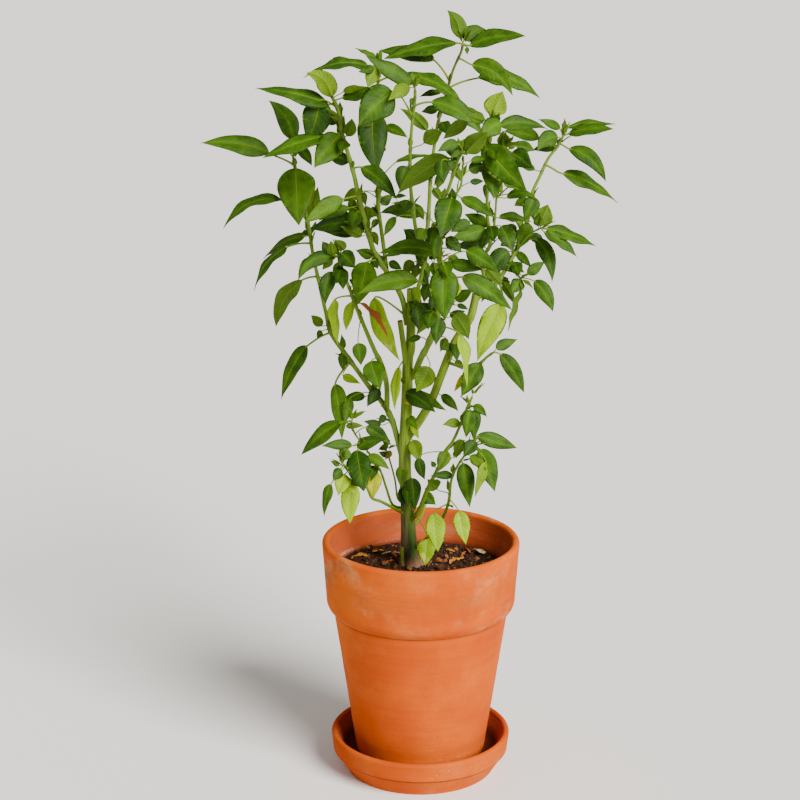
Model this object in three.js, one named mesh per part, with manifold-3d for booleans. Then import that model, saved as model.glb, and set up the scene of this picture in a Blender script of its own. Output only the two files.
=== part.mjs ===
// Potted chilli pepper plant: a pruned, woody trunk with leafy stems, standing in soil in a
// terracotta pot on its saucer. Millimetres, +Z up, origin at the centre of the saucer's foot.
import * as THREE from 'three';
import { mergeVertices } from 'three/addons/utils/BufferGeometryUtils.js';
import Module from 'manifold-3d';

const wasm = await Module();
wasm.setup();

// ---- driving dimensions ------------------------------------------------------------------

const GAP = 0.3; // clearance between pieces that touch
const MERGE_DISTANCE = 1e-4; // vertices of one solid that are closer are the same vertex
const LATHE_SIDES = 30;

const SAUCER_HEIGHT = 40;
const SAUCER_FOOT_RADIUS = 75;
const SAUCER_BAND_RADIUS = 92;
const SAUCER_BAND_LOW_RADIUS = 90.2;
const SAUCER_BAND_BOTTOM = 20;
const SAUCER_BAND_BEVEL = 1.6; // height over which the wall below steps out to the band
const SAUCER_STEP = 2; // how far the band stands out from the wall below it
const SAUCER_RIM_INSIDE = 85.4;
const SAUCER_FLOOR = 16; // height of the upper face of the floor
const SAUCER_FLOOR_RADIUS = 72;
const SAUCER_COVE = [8, 8]; // width and height of the round corner between floor and wall

const POT_FOOT = SAUCER_FLOOR + GAP;
const POT_HEIGHT = 231.5;
const POT_TOP = POT_FOOT + POT_HEIGHT;
const POT_FOOT_RADIUS = 60.2;
const POT_RIM_RADIUS = 100;
const POT_MOUTH_RADIUS = 92.3;
const POT_LIP_ROUND = (POT_RIM_RADIUS - POT_MOUTH_RADIUS) / 2;
const POT_BAND_DEPTH = 63; // from the rim's top to the band's lower corner
const POT_BAND_LOW_RADIUS = 96;
const POT_BAND_UNDERCUT = 6; // height of the round corner under the band
const POT_SHOULDER_DEPTH = 74.5;
const POT_SHOULDER_RADIUS = 88.8;
const POT_HEEL_DEPTH = 219; // where the wall starts to round into the foot
const POT_HEEL_RADIUS = 67.2;
const POT_INNER_BAND_RADIUS = 89;
const POT_INNER_SHOULDER_DEPTH = 79;
const POT_INNER_SHOULDER_RADIUS = 81.5;
const POT_FLOOR_THICKNESS = 9.7;
const POT_INNER_FOOT_RADIUS = 59;
const DRAIN_RADIUS = 10;

const SOIL_DEPTH = 36; // from the rim's top to the soil
const SOIL_CLEARANCE = 0.45;
const SOIL_MOUND = 2.5;
const SOIL_RIPPLE = 1.2;
const SOIL_RIPPLE_TURNS = 5; // waves round the pot
const SOIL_RIPPLE_LENGTH = 9; // millimetres of radius that turn the waves by one radian
const SOIL_RINGS = [0.75, 0.4]; // rings of the soil's top, as shares of its radius

const ROOT_DEPTH = 45; // how far the trunk's root reaches into the soil
const ROOT_TAPER = 0.6; // its radius down there, to the trunk's at the soil
const TRUNK_BEHIND_AXIS = 15; // the trunk stands this far behind the pot's axis
const CROWN_SPREAD = 1.7; // depth of the crown, to the marks' depths behind the trunk
const STEM_SIDES = 5;
const TRUNK_SIDES = 12;
const TRUNK_FLUTE = 0.09; // depth of the trunk's ridges, as a share of its radius

const PETIOLE_RADIUS = 1.0;
const PETIOLE_BEND_LENGTH = 22; // longer leaf stalks get a bend
const PETIOLE_BEND_AT = 0.55; // share of the stalk's length
const PETIOLE_BEND_RISE = 0.08; // of the bend over the straight line, as a share of the length
const SHORT_PETIOLE_LENGTH = 7; // shorter ones run straight into the blade
const BLADE_THICKNESS = 1.4; // along the midrib
const BLADE_FOLD = 0.3; // rise of the edges, as a share of the half width
const BLADE_ASPECT = 0.34; // the least width of a blade, as a share of its length
const BLADE_ARCH = 0.05; // rise of the midrib over its chord, as a share of its length
const BLADE_ARCH_HANGING = 0.35; // share of that arch left in a blade that hangs straight down
const BLADE_OUTWARD = 0.7; // how far the upper faces lean away from the stem
const STEM_END_MARGIN = 0.02; // leaf stalks keep this share of a stretch off its ends
const SMALL_LEAF = 32;
// share of the length along the midrib, share of the half width
const BLADE_OUTLINE = [[0.17, 0.78], [0.44, 0.98], [0.76, 0.44]];
const SMALL_BLADE_OUTLINE = [[0.28, 1.0], [0.68, 0.66]];

// ---- elevation sheet ---------------------------------------------------------------------
// Stems and leaves are laid out on an elevation, 800 squares wide and high, drawn as the plant
// is seen from EYE, looking down by SHEET_PITCH. A mark is [across, down, depth]: squares from
// the sheet's top left corner, and the millimetres that the mark lies behind the pot's axis
// (negative is in front of it), before CROWN_SPREAD moves the stems apart fore and aft.

const EYE = new THREE.Vector3(-21.1, -2067.6, 991.7);
const SHEET_PITCH = THREE.MathUtils.degToRad(16.14);
const SHEET_MIDDLE = 400;
const SHEET_DISTANCE = 2167; // from EYE to the sheet, in squares
const UP = new THREE.Vector3(0, 0, 1);

/** The point of a mark on the sheet. */
function place([across, down, depth]) {
  const ray = new THREE.Vector3(0, Math.cos(SHEET_PITCH), -Math.sin(SHEET_PITCH));
  ray.x += (across - SHEET_MIDDLE) / SHEET_DISTANCE;
  const rise = (SHEET_MIDDLE - down) / SHEET_DISTANCE;
  ray.y += rise * Math.sin(SHEET_PITCH);
  ray.z += rise * Math.cos(SHEET_PITCH);
  return EYE.clone().addScaledVector(ray, (depth - EYE.y) / ray.y);
}

// ---- plant layout ------------------------------------------------------------------------
// A stem is { marks, radii: [at its foot, at its top], leaves }. A leaf is
// [base across, base down, tip across, tip down, width seen, reach, stalk across, stalk down]:
// where its blade begins and ends, how wide it looks on the sheet, how much deeper than its
// stem the tip lies, and, where the stalk doesn't spring from the nearest point of the stem,
// the mark on the stem that it does spring from.

const TRUNK_STEMS = [
  {
    marks: [[411, 566, 15], [409, 545, 15], [408, 522, 15], [407, 500, 15], [405, 470, 15],
      [405, 440, 15], [407, 400, 15], [408, 360, 15], [410.6, 345, 15], [411, 289, 15]],
    radii: [9.4, 8.6, 7.4, 6.6, 6.2, 6.0, 5.8, 5.2, 4.8, 4.2],
    leaves: [
      [399, 367, 395, 411, 9, -20, 408, 355], [412, 392, 447, 411, 11, -16, 406, 400],
      [406, 393, 436, 413, 16, -30, 407, 404], [404, 399, 419, 403, 9, -14],
      [406, 383, 399, 378, 6, -12], [412, 478, 415, 512, 15, -24], [404, 486, 402, 509, 10, -20],
      [408, 483, 408, 507, 10, -27],
      [402, 466, 401, 488, 10, -18], [411, 424, 419, 439, 7, -16], [409, 416, 418, 431, 8, -22],
      [413, 440, 420, 463, 13, -18], [415, 287, 420, 303, 9, -14], [416, 304, 419, 332, 15, -16],
    ],
  },
  {
    marks: [[405, 440, 15], [420, 420, 13], [432, 399, 12], [441, 376, 10], [453.5, 345, 8],
      [468, 322, 6], [472, 313, 5], [477, 290, 5]],
    radii: [4.4, 4.4, 4.3, 4.2, 4.2, 4.1, 4.1, 3.9],
    leaves: [
      [441, 395, 459, 412, 9, -10], [452, 345, 441, 350, 8, -10], [455, 341, 457, 362, 10, -16],
      [455, 361, 463, 370, 7, -6], [487, 288, 481, 303, 6, -4],
    ],
  },
  { marks: [[406, 368, 15], [404.5, 353, 13], [400, 321, 10]], radii: [2.9, 2.9, 2.8], leaves: [] },
  {
    marks: [[447, 362, 9], [460, 366, 0], [477, 365, -8], [487, 357, -12], [494, 352, -14]],
    radii: [1.8, 1.6, 1.5, 1.3, 1.2],
    leaves: [
      [496, 349, 518, 339, 10, 10], [500, 354, 524, 393, 14, -14], [481, 363, 461, 397, 18, -8],
      [468, 373, 454, 392, 7, -4],
    ],
  },
];

const LEAFY_STEMS = {
  stem_far_left: [{
    marks: [[405, 470, 15], [399.5, 447, 17], [392, 420, 20], [382.6, 403, 24], [371, 389, 28],
      [360, 374, 32], [344.5, 353, 38], [331, 333, 44], [325, 309, 50], [318, 278, 57],
      [312, 249, 62], [309, 227, 66], [300, 190, 72], [293, 158, 76]],
    radii: [3.0, 1.5],
    leaves: [
      [269, 153, 200, 143, 18, -10, 290, 167], [293, 140, 268, 100, 18, -30],
      [298, 148, 312, 166, 10, -25], [291, 147, 278, 152, 8, -20], [296, 168, 299, 226, 34, -45],
      [281, 200, 223, 229, 10, -20, 308, 212], [309, 221, 318, 186, 14, 20],
      [305, 236, 263, 259, 9, 15], [287, 247, 254, 291, 9, -25], [310, 258, 298, 280, 9, -20],
      [302, 280, 276, 327, 15, 15], [322, 326, 311, 315, 9, -8], [322, 331, 317, 338, 6, -6],
      [307, 346, 281, 400, 14, -15, 327, 334], [343, 352, 343, 371, 8, -14],
      [343, 376, 361, 384, 8, -20, 350, 362], [335, 384, 342, 441, 15, -30, 350, 362],
      [349, 355, 346, 369, 6, 10], [365, 397, 341, 401, 9, 6],
      [350, 398, 344, 424, 11, -14, 374, 392], [380, 389, 367, 407, 11, -12],
      [381, 425, 363, 421, 7, -10], [386, 416, 379, 424, 7, -8],
    ],
  }],
  stem_left_front: [{
    marks: [[387, 410, 22], [386.6, 385, 19], [382, 365.6, 15], [375, 351.5, 12], [367, 333, 9],
      [357, 309, 6], [350, 290, 4], [341, 266, 2], [338, 257, 1]],
    radii: [2.8, 1.3],
    leaves: [
      [336, 257, 298, 281, 13, -15], [340, 267, 343, 290, 12, -25], [334, 272, 326, 304, 14, -18],
      [329, 252, 322, 241, 9, 12], [334, 256, 331, 240, 9, -14], [341, 253, 355, 268, 16, -14],
      [344, 250, 334, 240, 10, 12], [334, 300, 338, 345, 10, 14, 352, 296],
      [353, 301, 346, 331, 9, 12], [358, 343, 361, 366, 13, -10, 361, 318],
      [371, 361, 381, 390, 20, -22], [361, 303, 388, 337, 5, -14],
    ],
  }],
  stem_left_middle: [{
    marks: [[407, 325, 15], [402, 298, 17], [386.6, 271.5, 25], [374, 252, 28], [367, 227, 30],
      [361, 207.6, 30], [354, 175, 31], [346, 147, 33], [341.7, 133, 34], [339, 114, 35],
      [333, 98, 36]],
    radii: [2.9, 1.8],
    leaves: [
      [328, 136, 262, 158, 14, -20], [329, 105, 255, 88, 14, -10], [331, 97, 306, 73, 18, -20],
      [320, 100, 306, 143, 26, -6, 338, 108], [340, 135, 314, 168, 24, -30],
      [349, 162, 324, 153, 12, 20], [342, 98, 389, 87, 11, -2], [343, 92, 366, 87, 7, -8],
      [347, 136, 352, 118, 12, -10], [338, 118, 326, 108, 5, -8],
      [339, 121, 330, 116, 4, -10], [343, 135, 338, 122, 8, 10], [361, 167, 398, 201, 15, -30],
      [343, 199, 304, 223, 16, -25], [349, 208, 318, 221, 10, -6],
      [364, 232, 320, 216, 21, 22, 369, 236], [346, 222, 310, 229, 14, 14],
      [352, 236, 324, 232, 8, 10], [362, 236, 340, 226, 10, -14], [357, 203, 357, 219, 9, 12],
      [367, 262, 356, 307, 23, -62, 380, 261], [372, 258, 378, 269, 8, -10],
      [372, 257, 355, 250, 10, -12], [389, 262, 402, 269, 8, -8],
      [374, 298, 400, 361, 17, -20, 405, 316],
    ],
  }],
  stem_middle_back: [{
    marks: [[387, 271, 25], [381, 228, 40], [378, 208, 46], [379, 189, 50], [378, 154, 56],
      [378, 110, 60], [378, 78, 58], [379, 67, 56]],
    radii: [2.1, 1.3],
    leaves: [
      [368, 66, 303, 78, 11, -20], [376, 58, 355, 48, 5, 10], [374, 68, 358, 72, 8, -16],
      [377, 68, 367, 88, 14, -12], [382, 64, 384, 76, 7, -14],
      [403, 75, 464, 106, 12, -25, 379, 83], [373, 111, 377, 174, 27, -30],
      [385, 127, 408, 138, 9, -14], [362, 191, 343, 202, 11, 10],
      [364, 192, 366, 206, 6, 8, 379, 198], [396, 162, 432, 155, 5, 10, 379, 180],
      [377, 209, 368, 219, 9, -12], [377, 219, 371, 229, 6, -10], [396, 197, 407, 196, 4, -10],
      [382, 205, 393, 195, 9, 12],
    ],
  }],
  stem_middle: [{
    marks: [[425, 262, 34], [416.7, 232, 26], [414.4, 220, 22], [411, 191, 17], [410, 162, 15],
      [411, 138, 14], [413, 115, 13], [415, 98, 12], [415, 88, 12]],
    radii: [2.0, 1.4],
    leaves: [
      [413, 84, 366, 56, 15, -10], [410, 87, 388, 101, 13, -25],
      [393, 92, 358, 127, 31, -25, 413, 117], [431, 102, 484, 137, 17, -15, 414, 107],
      [424, 143, 443, 131, 14, -24, 411, 150], [413, 98, 411, 107, 5, -6],
      [407, 166, 400, 192, 15, -12], [408, 205, 391, 203, 5, -8], [396, 217, 384, 236, 8, -10],
      [424, 250, 417, 264, 13, -18], [425, 229, 416, 243, 12, -20], [416, 242, 403, 229, 12, 14],
      [414, 262, 404, 274, 11, 16], [405, 251, 384, 257, 6, -8], [418, 266, 412, 280, 8, 10],
    ],
  }],
  stem_tallest: [{
    marks: [[413, 310, 15], [415, 300, 18], [425, 260, 35], [427.5, 229, 43], [429, 207, 48],
      [430.5, 179, 52], [433.6, 151.5, 56], [436.6, 130, 59], [439, 119, 60], [446, 95, 62],
      [448, 87, 62], [453.5, 69, 62], [461, 52, 60], [463, 43, 60]],
    radii: [2.3, 1.2],
    leaves: [
      [460, 38, 447, 10, 14, 12], [464, 40, 486, 29, 14, 20], [470, 46, 526, 36, 14, -12],
      [457, 43, 383, 59, 14, -10], [434, 60, 377, 51, 14, 18, 449, 80], [472, 65, 513, 97, 17, -20],
      [478, 78, 541, 99, 14, 15, 449, 89], [441, 92, 419, 97, 6, -14], [438, 110, 421, 112, 8, 12],
      [427, 130, 399, 108, 11, -15, 435, 138], [424, 211, 382, 211, 14, 16, 428, 219],
      [467, 47, 467, 55, 4, -6], [421, 268, 429, 289, 7, -10],
    ],
  }],
  stem_front: [{
    marks: [[407, 382, 15], [414, 374, 13], [421, 358, 5], [428, 345, -2], [434, 328, -12],
      [438, 305, -22], [439, 280, -32], [440, 255, -42], [441, 225, -52], [443, 200, -58],
      [448, 190, -60], [453, 175, -63], [457, 162, -65], [463, 150, -66]],
    radii: [3.2, 3.3, 3.3, 3.2, 2.9, 2.5, 2.2, 2.0, 1.9, 1.8, 1.7, 1.5, 1.3, 1.2],
    leaves: [
      [458, 144, 437, 152, 11, -12], [458, 153, 444, 149, 10, 12], [464, 151, 466, 138, 13, 14],
      [461, 152, 450, 158, 7, -6],
      [466, 153, 488, 132, 18, -16], [449, 158, 397, 195, 20, 30], [442, 160, 444, 184, 14, -20],
      [455, 161, 446, 173, 9, -10], [444, 172, 434, 186, 6, -10], [452, 200, 452, 187, 8, -10],
      [452, 198, 440, 237, 25, -35], [460, 214, 434, 226, 14, -20],
      [444, 268, 445, 321, 26, -30, 440, 254], [437, 253, 377, 254, 15, 18],
      [418, 281, 356, 295, 18, -15, 438, 293], [440, 318, 436, 346, 14, -12],
      [460, 334, 467, 388, 10, -28, 435, 326], [454, 314, 469, 340, 17, 12],
      [450, 317, 466, 311, 7, 8], [431, 316, 418, 303, 13, 4], [436, 312, 429, 298, 8, 6],
      [456, 301, 474, 289, 11, 5], [457, 305, 469, 310, 5, -5], [459, 284, 456, 297, 6, -6],
      [450, 264, 482, 270, 12, -10], [449, 256, 460, 266, 9, 10],
      [466, 251, 499, 274, 16, -20, 440, 264], [462, 277, 513, 311, 18, -8, 439, 284],
      [430, 367, 416, 392, 20, -12, 424, 352],
      [421, 337, 407, 342, 6, -4, 429, 342], [448, 238, 455, 251, 10, -6], [470, 222, 450, 232, 11, -12],
      [460, 249, 446, 242, 9, -14], [437, 290, 431, 311, 10, -6], [429, 284, 424, 303, 10, -4],
    ],
  }, {
    marks: [[443, 200, -58], [455, 195, -53], [461, 185, -52], [462, 172, -54], [464, 157, -58]],
    radii: [1.1, 0.8],
    leaves: [
      [469, 170, 487, 168, 12, 28, 462, 178], [471, 161, 487, 159, 7, 20, 463, 165],
      [470, 182, 484, 181, 6, 8, 461, 188], [461, 198, 495, 218, 11, -15, 456, 194],
    ],
  }],
  stem_right_front: [{
    marks: [[487, 292, 8], [482.6, 268, 0], [484, 256, -6], [490, 244, -12], [488, 222, -22],
      [487, 204, -28], [488.7, 160, -38], [490, 140, -40], [493, 124, -42]],
    radii: [2.0, 1.2],
    leaves: [
      [493, 116, 503, 91, 21, 15], [500, 126, 548, 129, 13, 12], [484, 121, 466, 115, 10, -12],
      [495, 122, 500, 114, 7, -8], [501, 123, 480, 138, 18, -25], [485, 120, 463, 105, 5, 10],
      [467, 122, 443, 139, 12, 22], [484, 145, 527, 190, 27, -35], [491, 156, 494, 200, 20, -22],
      [488, 182, 486, 200, 7, 12], [486, 230, 451, 239, 15, -20], [487, 227, 464, 214, 12, 8],
      [484, 247, 453, 247, 11, -12], [487, 231, 481, 251, 11, -8],
    ],
  }, {
    marks: [[490, 244, -12], [493, 236, -14], [495.6, 211, -18], [497, 195, -20], [503, 165, -22],
      [506, 147, -24]],
    radii: [1.2, 0.8],
    leaves: [
      [505, 145, 503, 130, 12, 8], [509, 149, 520, 140, 5, 6], [512, 152, 534, 169, 17, -15],
      [516, 146, 535, 151, 10, 10], [503, 181, 519, 190, 8, -10], [535, 197, 524, 222, 15, -18, 497, 196],
      [507, 198, 537, 200, 9, -14],
      [499, 218, 532, 222, 8, 15], [501, 226, 513, 252, 16, -12],
    ],
  }],
  stem_far_right: [{
    marks: [[473, 307, 5], [479, 297, 6], [487, 292, 8], [499, 280, 12], [510, 261, 16],
      [518, 247, 20], [524, 230, 23], [529, 215, 25], [532, 194, 28], [540, 176, 32],
      [548, 159, 35], [557, 147, 37], [563, 136, 38]],
    radii: [2.4, 1.3],
    leaves: [
      [560, 129, 538, 119, 8, -12], [568, 134, 614, 129, 10, -12], [567, 128, 616, 124, 8, 14],
      [539, 139, 503, 131, 12, 12, 556, 148], [558, 137, 537, 152, 16, -22],
      [557, 147, 532, 150, 9, 8], [569, 149, 606, 182, 14, -20], [563, 174, 618, 203, 13, 15],
      [535, 170, 513, 160, 7, 14, 542, 172], [531, 198, 534, 222, 11, -14],
      [516, 232, 504, 226, 9, 12], [536, 239, 552, 283, 14, -22, 518, 248],
      [516, 252, 532, 268, 8, -8], [530, 224, 517, 250, 14, -14],
      [502, 304, 477, 362, 23, -15, 499, 280], [509, 251, 490, 277, 19, -14],
    ],
  }, {
    marks: [[518, 247, 20], [530, 234, 10], [541, 228, 4]],
    radii: [1.1, 0.8],
    leaves: [
      [540, 225, 548, 204, 18, 10], [538, 226, 540, 212, 8, -6], [546, 229, 596, 246, 12, 6],
      [544, 232, 577, 257, 10, -12],
    ],
  }, {
    marks: [[505, 270, 14], [513, 272, 8], [521, 278, 4]],
    radii: [1.1, 0.8],
    leaves: [
      [528, 275, 545, 262, 10, 8], [534, 281, 553, 312, 14, -14], [507, 265, 525, 273, 9, -10],
      [522, 280, 511, 294, 13, -10], [521, 290, 508, 331, 6, 6],
    ],
  }],
  shoot_left_low: [{
    marks: [[405, 514, 15], [382, 502, -3], [372, 498, -9], [366, 487, -14], [349, 472, -22],
      [343, 463, -26]],
    radii: [1.8, 1.0],
    leaves: [
      [339, 466, 330, 461, 5, -6], [342, 470, 333, 480, 10, -12], [345, 474, 338, 496, 15, -18],
      [353, 482, 350, 524, 17, -14], [350, 480, 359, 487, 6, -6],
      [331, 484, 324, 517, 9, -10, 343, 466],
    ],
  }],
  shoot_left_middle: [{
    marks: [[406, 508, 15], [393, 505, 14], [386, 487, 9], [380, 470, 0], [366, 449, -12],
      [354, 432, -18], [352, 421, -20]],
    radii: [1.5, 0.8],
    leaves: [
      [352, 446, 321, 446, 10, -10, 362, 445], [357, 448, 387, 439, 12, -10, 362, 444],
      [366, 427, 392, 446, 12, 12], [341, 423, 301, 455, 14, 12], [346, 427, 364, 426, 6, 4],
      [368, 456, 390, 470, 10, -8], [376, 471, 373, 500, 14, -6], [376, 466, 368, 478, 9, -20],
      [357, 450, 364, 492, 22, -42, 364, 448], [348, 449, 342, 462, 12, -16, 360, 444],
      [353, 418, 366, 411, 4, -4],
    ],
  }],
  shoot_left_small: [{
    marks: [[406, 503, 16], [398, 499, 24], [395, 480, 32], [390, 461, 38], [386, 449, 40]],
    radii: [1.2, 0.8],
    leaves: [
      [387, 456, 378, 452, 6, -6], [391, 451, 385, 460, 6, -8], [385, 445, 389, 439, 4, 4],
      [388, 447, 378, 450, 6, -4],
    ],
  }],
  shoot_right_low: [{
    marks: [[411, 553, 15], [430, 535, 2], [442, 519, -12], [448.5, 502.5, -24],
      [451.5, 479.5, -36], [457.7, 465.7, -42], [465, 455, -46], [472, 446, -48]],
    radii: [1.8, 0.9],
    leaves: [
      [463, 463, 470, 508, 16, -14], [480, 449, 495, 492, 18, -10], [470, 456, 487, 470, 10, -14],
      [486, 462, 475, 497, 9, -18, 477, 449], [434, 513, 438, 552, 18, -16, 448, 504],
      [459, 511, 466, 545, 15, -12, 449, 499], [453, 476, 430, 476, 8, -10],
      [437, 489, 427, 479, 13, -6, 450, 494], [476, 441, 463, 458, 12, -12],
      [463, 440, 456, 459, 11, 10], [477, 436, 517, 448, 14, 6],
    ],
  }],
  shoot_right_back: [{
    marks: [[409, 532, 15], [421, 516, 28], [425.5, 502.5, 36], [431, 485, 43],
      [437.8, 468.8, 50], [452, 458, 56]],
    radii: [1.8, 0.9],
    leaves: [[423, 495, 436, 505, 11, -8], [435, 467, 431, 461, 5, 4], [455, 456, 461, 449, 5, 4]],
  }],
  shoot_right_pale: [{
    marks: [[407, 524, 15], [418, 512, 8], [427, 490, 4], [434.7, 475, 0], [440.8, 462.7, -3],
      [447, 449, -6], [453, 441, -8], [460.7, 424, -10], [466.8, 409, -12], [473, 395, -13]],
    radii: [2.2, 1.2],
    leaves: [
      [460, 424, 442, 425, 9, -10], [471, 410, 466, 438, 13, -14], [476, 409, 474, 442, 11, -10],
      [473, 406, 487, 417, 8, -5], [447, 451, 438, 472, 12, -14],
      [419, 458, 425, 480, 10, -8, 445, 452], [428, 539, 425, 566, 17, -30, 416, 514],
    ],
  }],
};

for (const stem of [...TRUNK_STEMS, ...Object.values(LEAFY_STEMS).flat()]) {
  stem.marks = stem.marks.map(([across, down, depth]) => [across, down,
    TRUNK_BEHIND_AXIS + (depth - TRUNK_BEHIND_AXIS) * CROWN_SPREAD]);
}

// ---- solids ------------------------------------------------------------------------------

/** Closed mesh through a row of rings with equally many points. Its foot is a flat fan, and so
 *  is its top, unless a tip is given that the last ring runs to. */
function loft(rings, tip = null) {
  const sides = rings[0].length;
  const points = tip ? [...rings.flat(), tip] : rings.flat();
  const index = [];
  for (let ring = 0; ring + 1 < rings.length; ring += 1) {
    for (let side = 0; side < sides; side += 1) {
      const a = ring * sides + side;
      const b = ring * sides + ((side + 1) % sides);
      index.push(a, b, b + sides, a, b + sides, a + sides);
    }
  }
  const last = (rings.length - 1) * sides;
  for (let side = 1; side + 1 < sides; side += 1) {
    index.push(0, side + 1, side);
    if (!tip) index.push(last, last + side, last + side + 1);
  }
  for (let side = 0; tip && side < sides; side += 1) {
    index.push(last + side, last + ((side + 1) % sides), last + sides);
  }
  const geometry = new THREE.BufferGeometry().setFromPoints(points);
  geometry.setIndex(index);
  return geometry;
}

function toManifold(geometry) {
  const bare = geometry.clone();
  bare.deleteAttribute('normal');
  bare.deleteAttribute('uv');
  const merged = mergeVertices(bare, MERGE_DISTANCE);
  return new wasm.Manifold(new wasm.Mesh({
    numProp: 3,
    vertProperties: new Float32Array(merged.attributes.position.array),
    triVerts: new Uint32Array(merged.index.array),
  }));
}

function toGeometry(solid) {
  const mesh = solid.getMesh();
  const geometry = new THREE.BufferGeometry();
  geometry.setAttribute('position', new THREE.BufferAttribute(mesh.vertProperties, 3));
  geometry.setIndex(new THREE.BufferAttribute(mesh.triVerts, 1));
  geometry.computeVertexNormals();
  return geometry;
}

/** The largest body of a solid: small scraps that a cut leaves loose are dropped. */
function largestBody(solid) {
  const bodies = solid.decompose();
  return bodies.reduce((best, body) => (body.volume() > best.volume() ? body : best));
}

function tangentAt(path, index) {
  const from = path[Math.max(index - 1, 0)];
  const to = path[Math.min(index + 1, path.length - 1)];
  return to.clone().sub(from).normalize();
}

/** Round tube along a path, with a radius at each of its points and optional flutes. */
function tube(path, radii, sides, extra = 0, flute = 0) {
  let across = new THREE.Vector3(1, 0, 0);
  const rings = path.map((centre, index) => {
    const along = tangentAt(path, index);
    across.addScaledVector(along, -across.dot(along)).normalize();
    const over = new THREE.Vector3().crossVectors(along, across);
    return Array.from({ length: sides }, (_, side) => {
      const turn = (2 * Math.PI * side) / sides;
      const ridge = side % 2 === 0 ? 1 : 1 - flute;
      const radius = radii[index] * ridge + extra;
      return centre.clone()
        .addScaledVector(across, radius * Math.cos(turn))
        .addScaledVector(over, radius * Math.sin(turn));
    });
  });
  return loft(rings);
}

/** A radius for each mark of a stem: either as listed, or from its foot's to its top's. */
function stemRadii({ marks, radii }) {
  if (radii.length === marks.length) return radii;
  const [foot, top] = radii;
  return marks.map((_, index) => foot + ((top - foot) * index) / (marks.length - 1));
}

/** The point of a stem's centreline that looks nearest to a mark on the sheet. */
function nearestOnStem(stem, across, down) {
  let best = { distance: Infinity };
  for (let index = 0; index + 1 < stem.marks.length; index += 1) {
    const [x0, y0, depth0] = stem.marks[index];
    const [x1, y1, depth1] = stem.marks[index + 1];
    const run = [x1 - x0, y1 - y0];
    const share = ((across - x0) * run[0] + (down - y0) * run[1]) / (run[0] ** 2 + run[1] ** 2);
    const part = Math.min(Math.max(share, STEM_END_MARGIN), 1 - STEM_END_MARGIN);
    const distance = Math.hypot(x0 + run[0] * part - across, y0 + run[1] * part - down);
    if (distance < best.distance) {
      const point = place(stem.marks[index]).lerp(place(stem.marks[index + 1]), part);
      best = { distance, point, mark: [x0 + run[0] * part, y0 + run[1] * part],
        depth: depth0 + (depth1 - depth0) * part };
    }
  }
  return best;
}

/** Ring of four points, left edge, top, right edge and underside, square to a direction. Where
 *  the edges rise, the top is the floor of the fold between them; a stalk's is a ridge. */
function bladeRing(centre, chord, along, side, face, halfWidth, rise, below) {
  const turn = new THREE.Quaternion().setFromUnitVectors(chord, along);
  const sideways = side.clone().applyQuaternion(turn);
  const upward = face.clone().applyQuaternion(turn);
  return [
    centre.clone().addScaledVector(sideways, halfWidth).addScaledVector(upward, rise),
    centre.clone().addScaledVector(upward, rise > 0 ? 0 : below),
    centre.clone().addScaledVector(sideways, -halfWidth).addScaledVector(upward, rise),
    centre.clone().addScaledVector(upward, -below),
  ];
}

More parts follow.
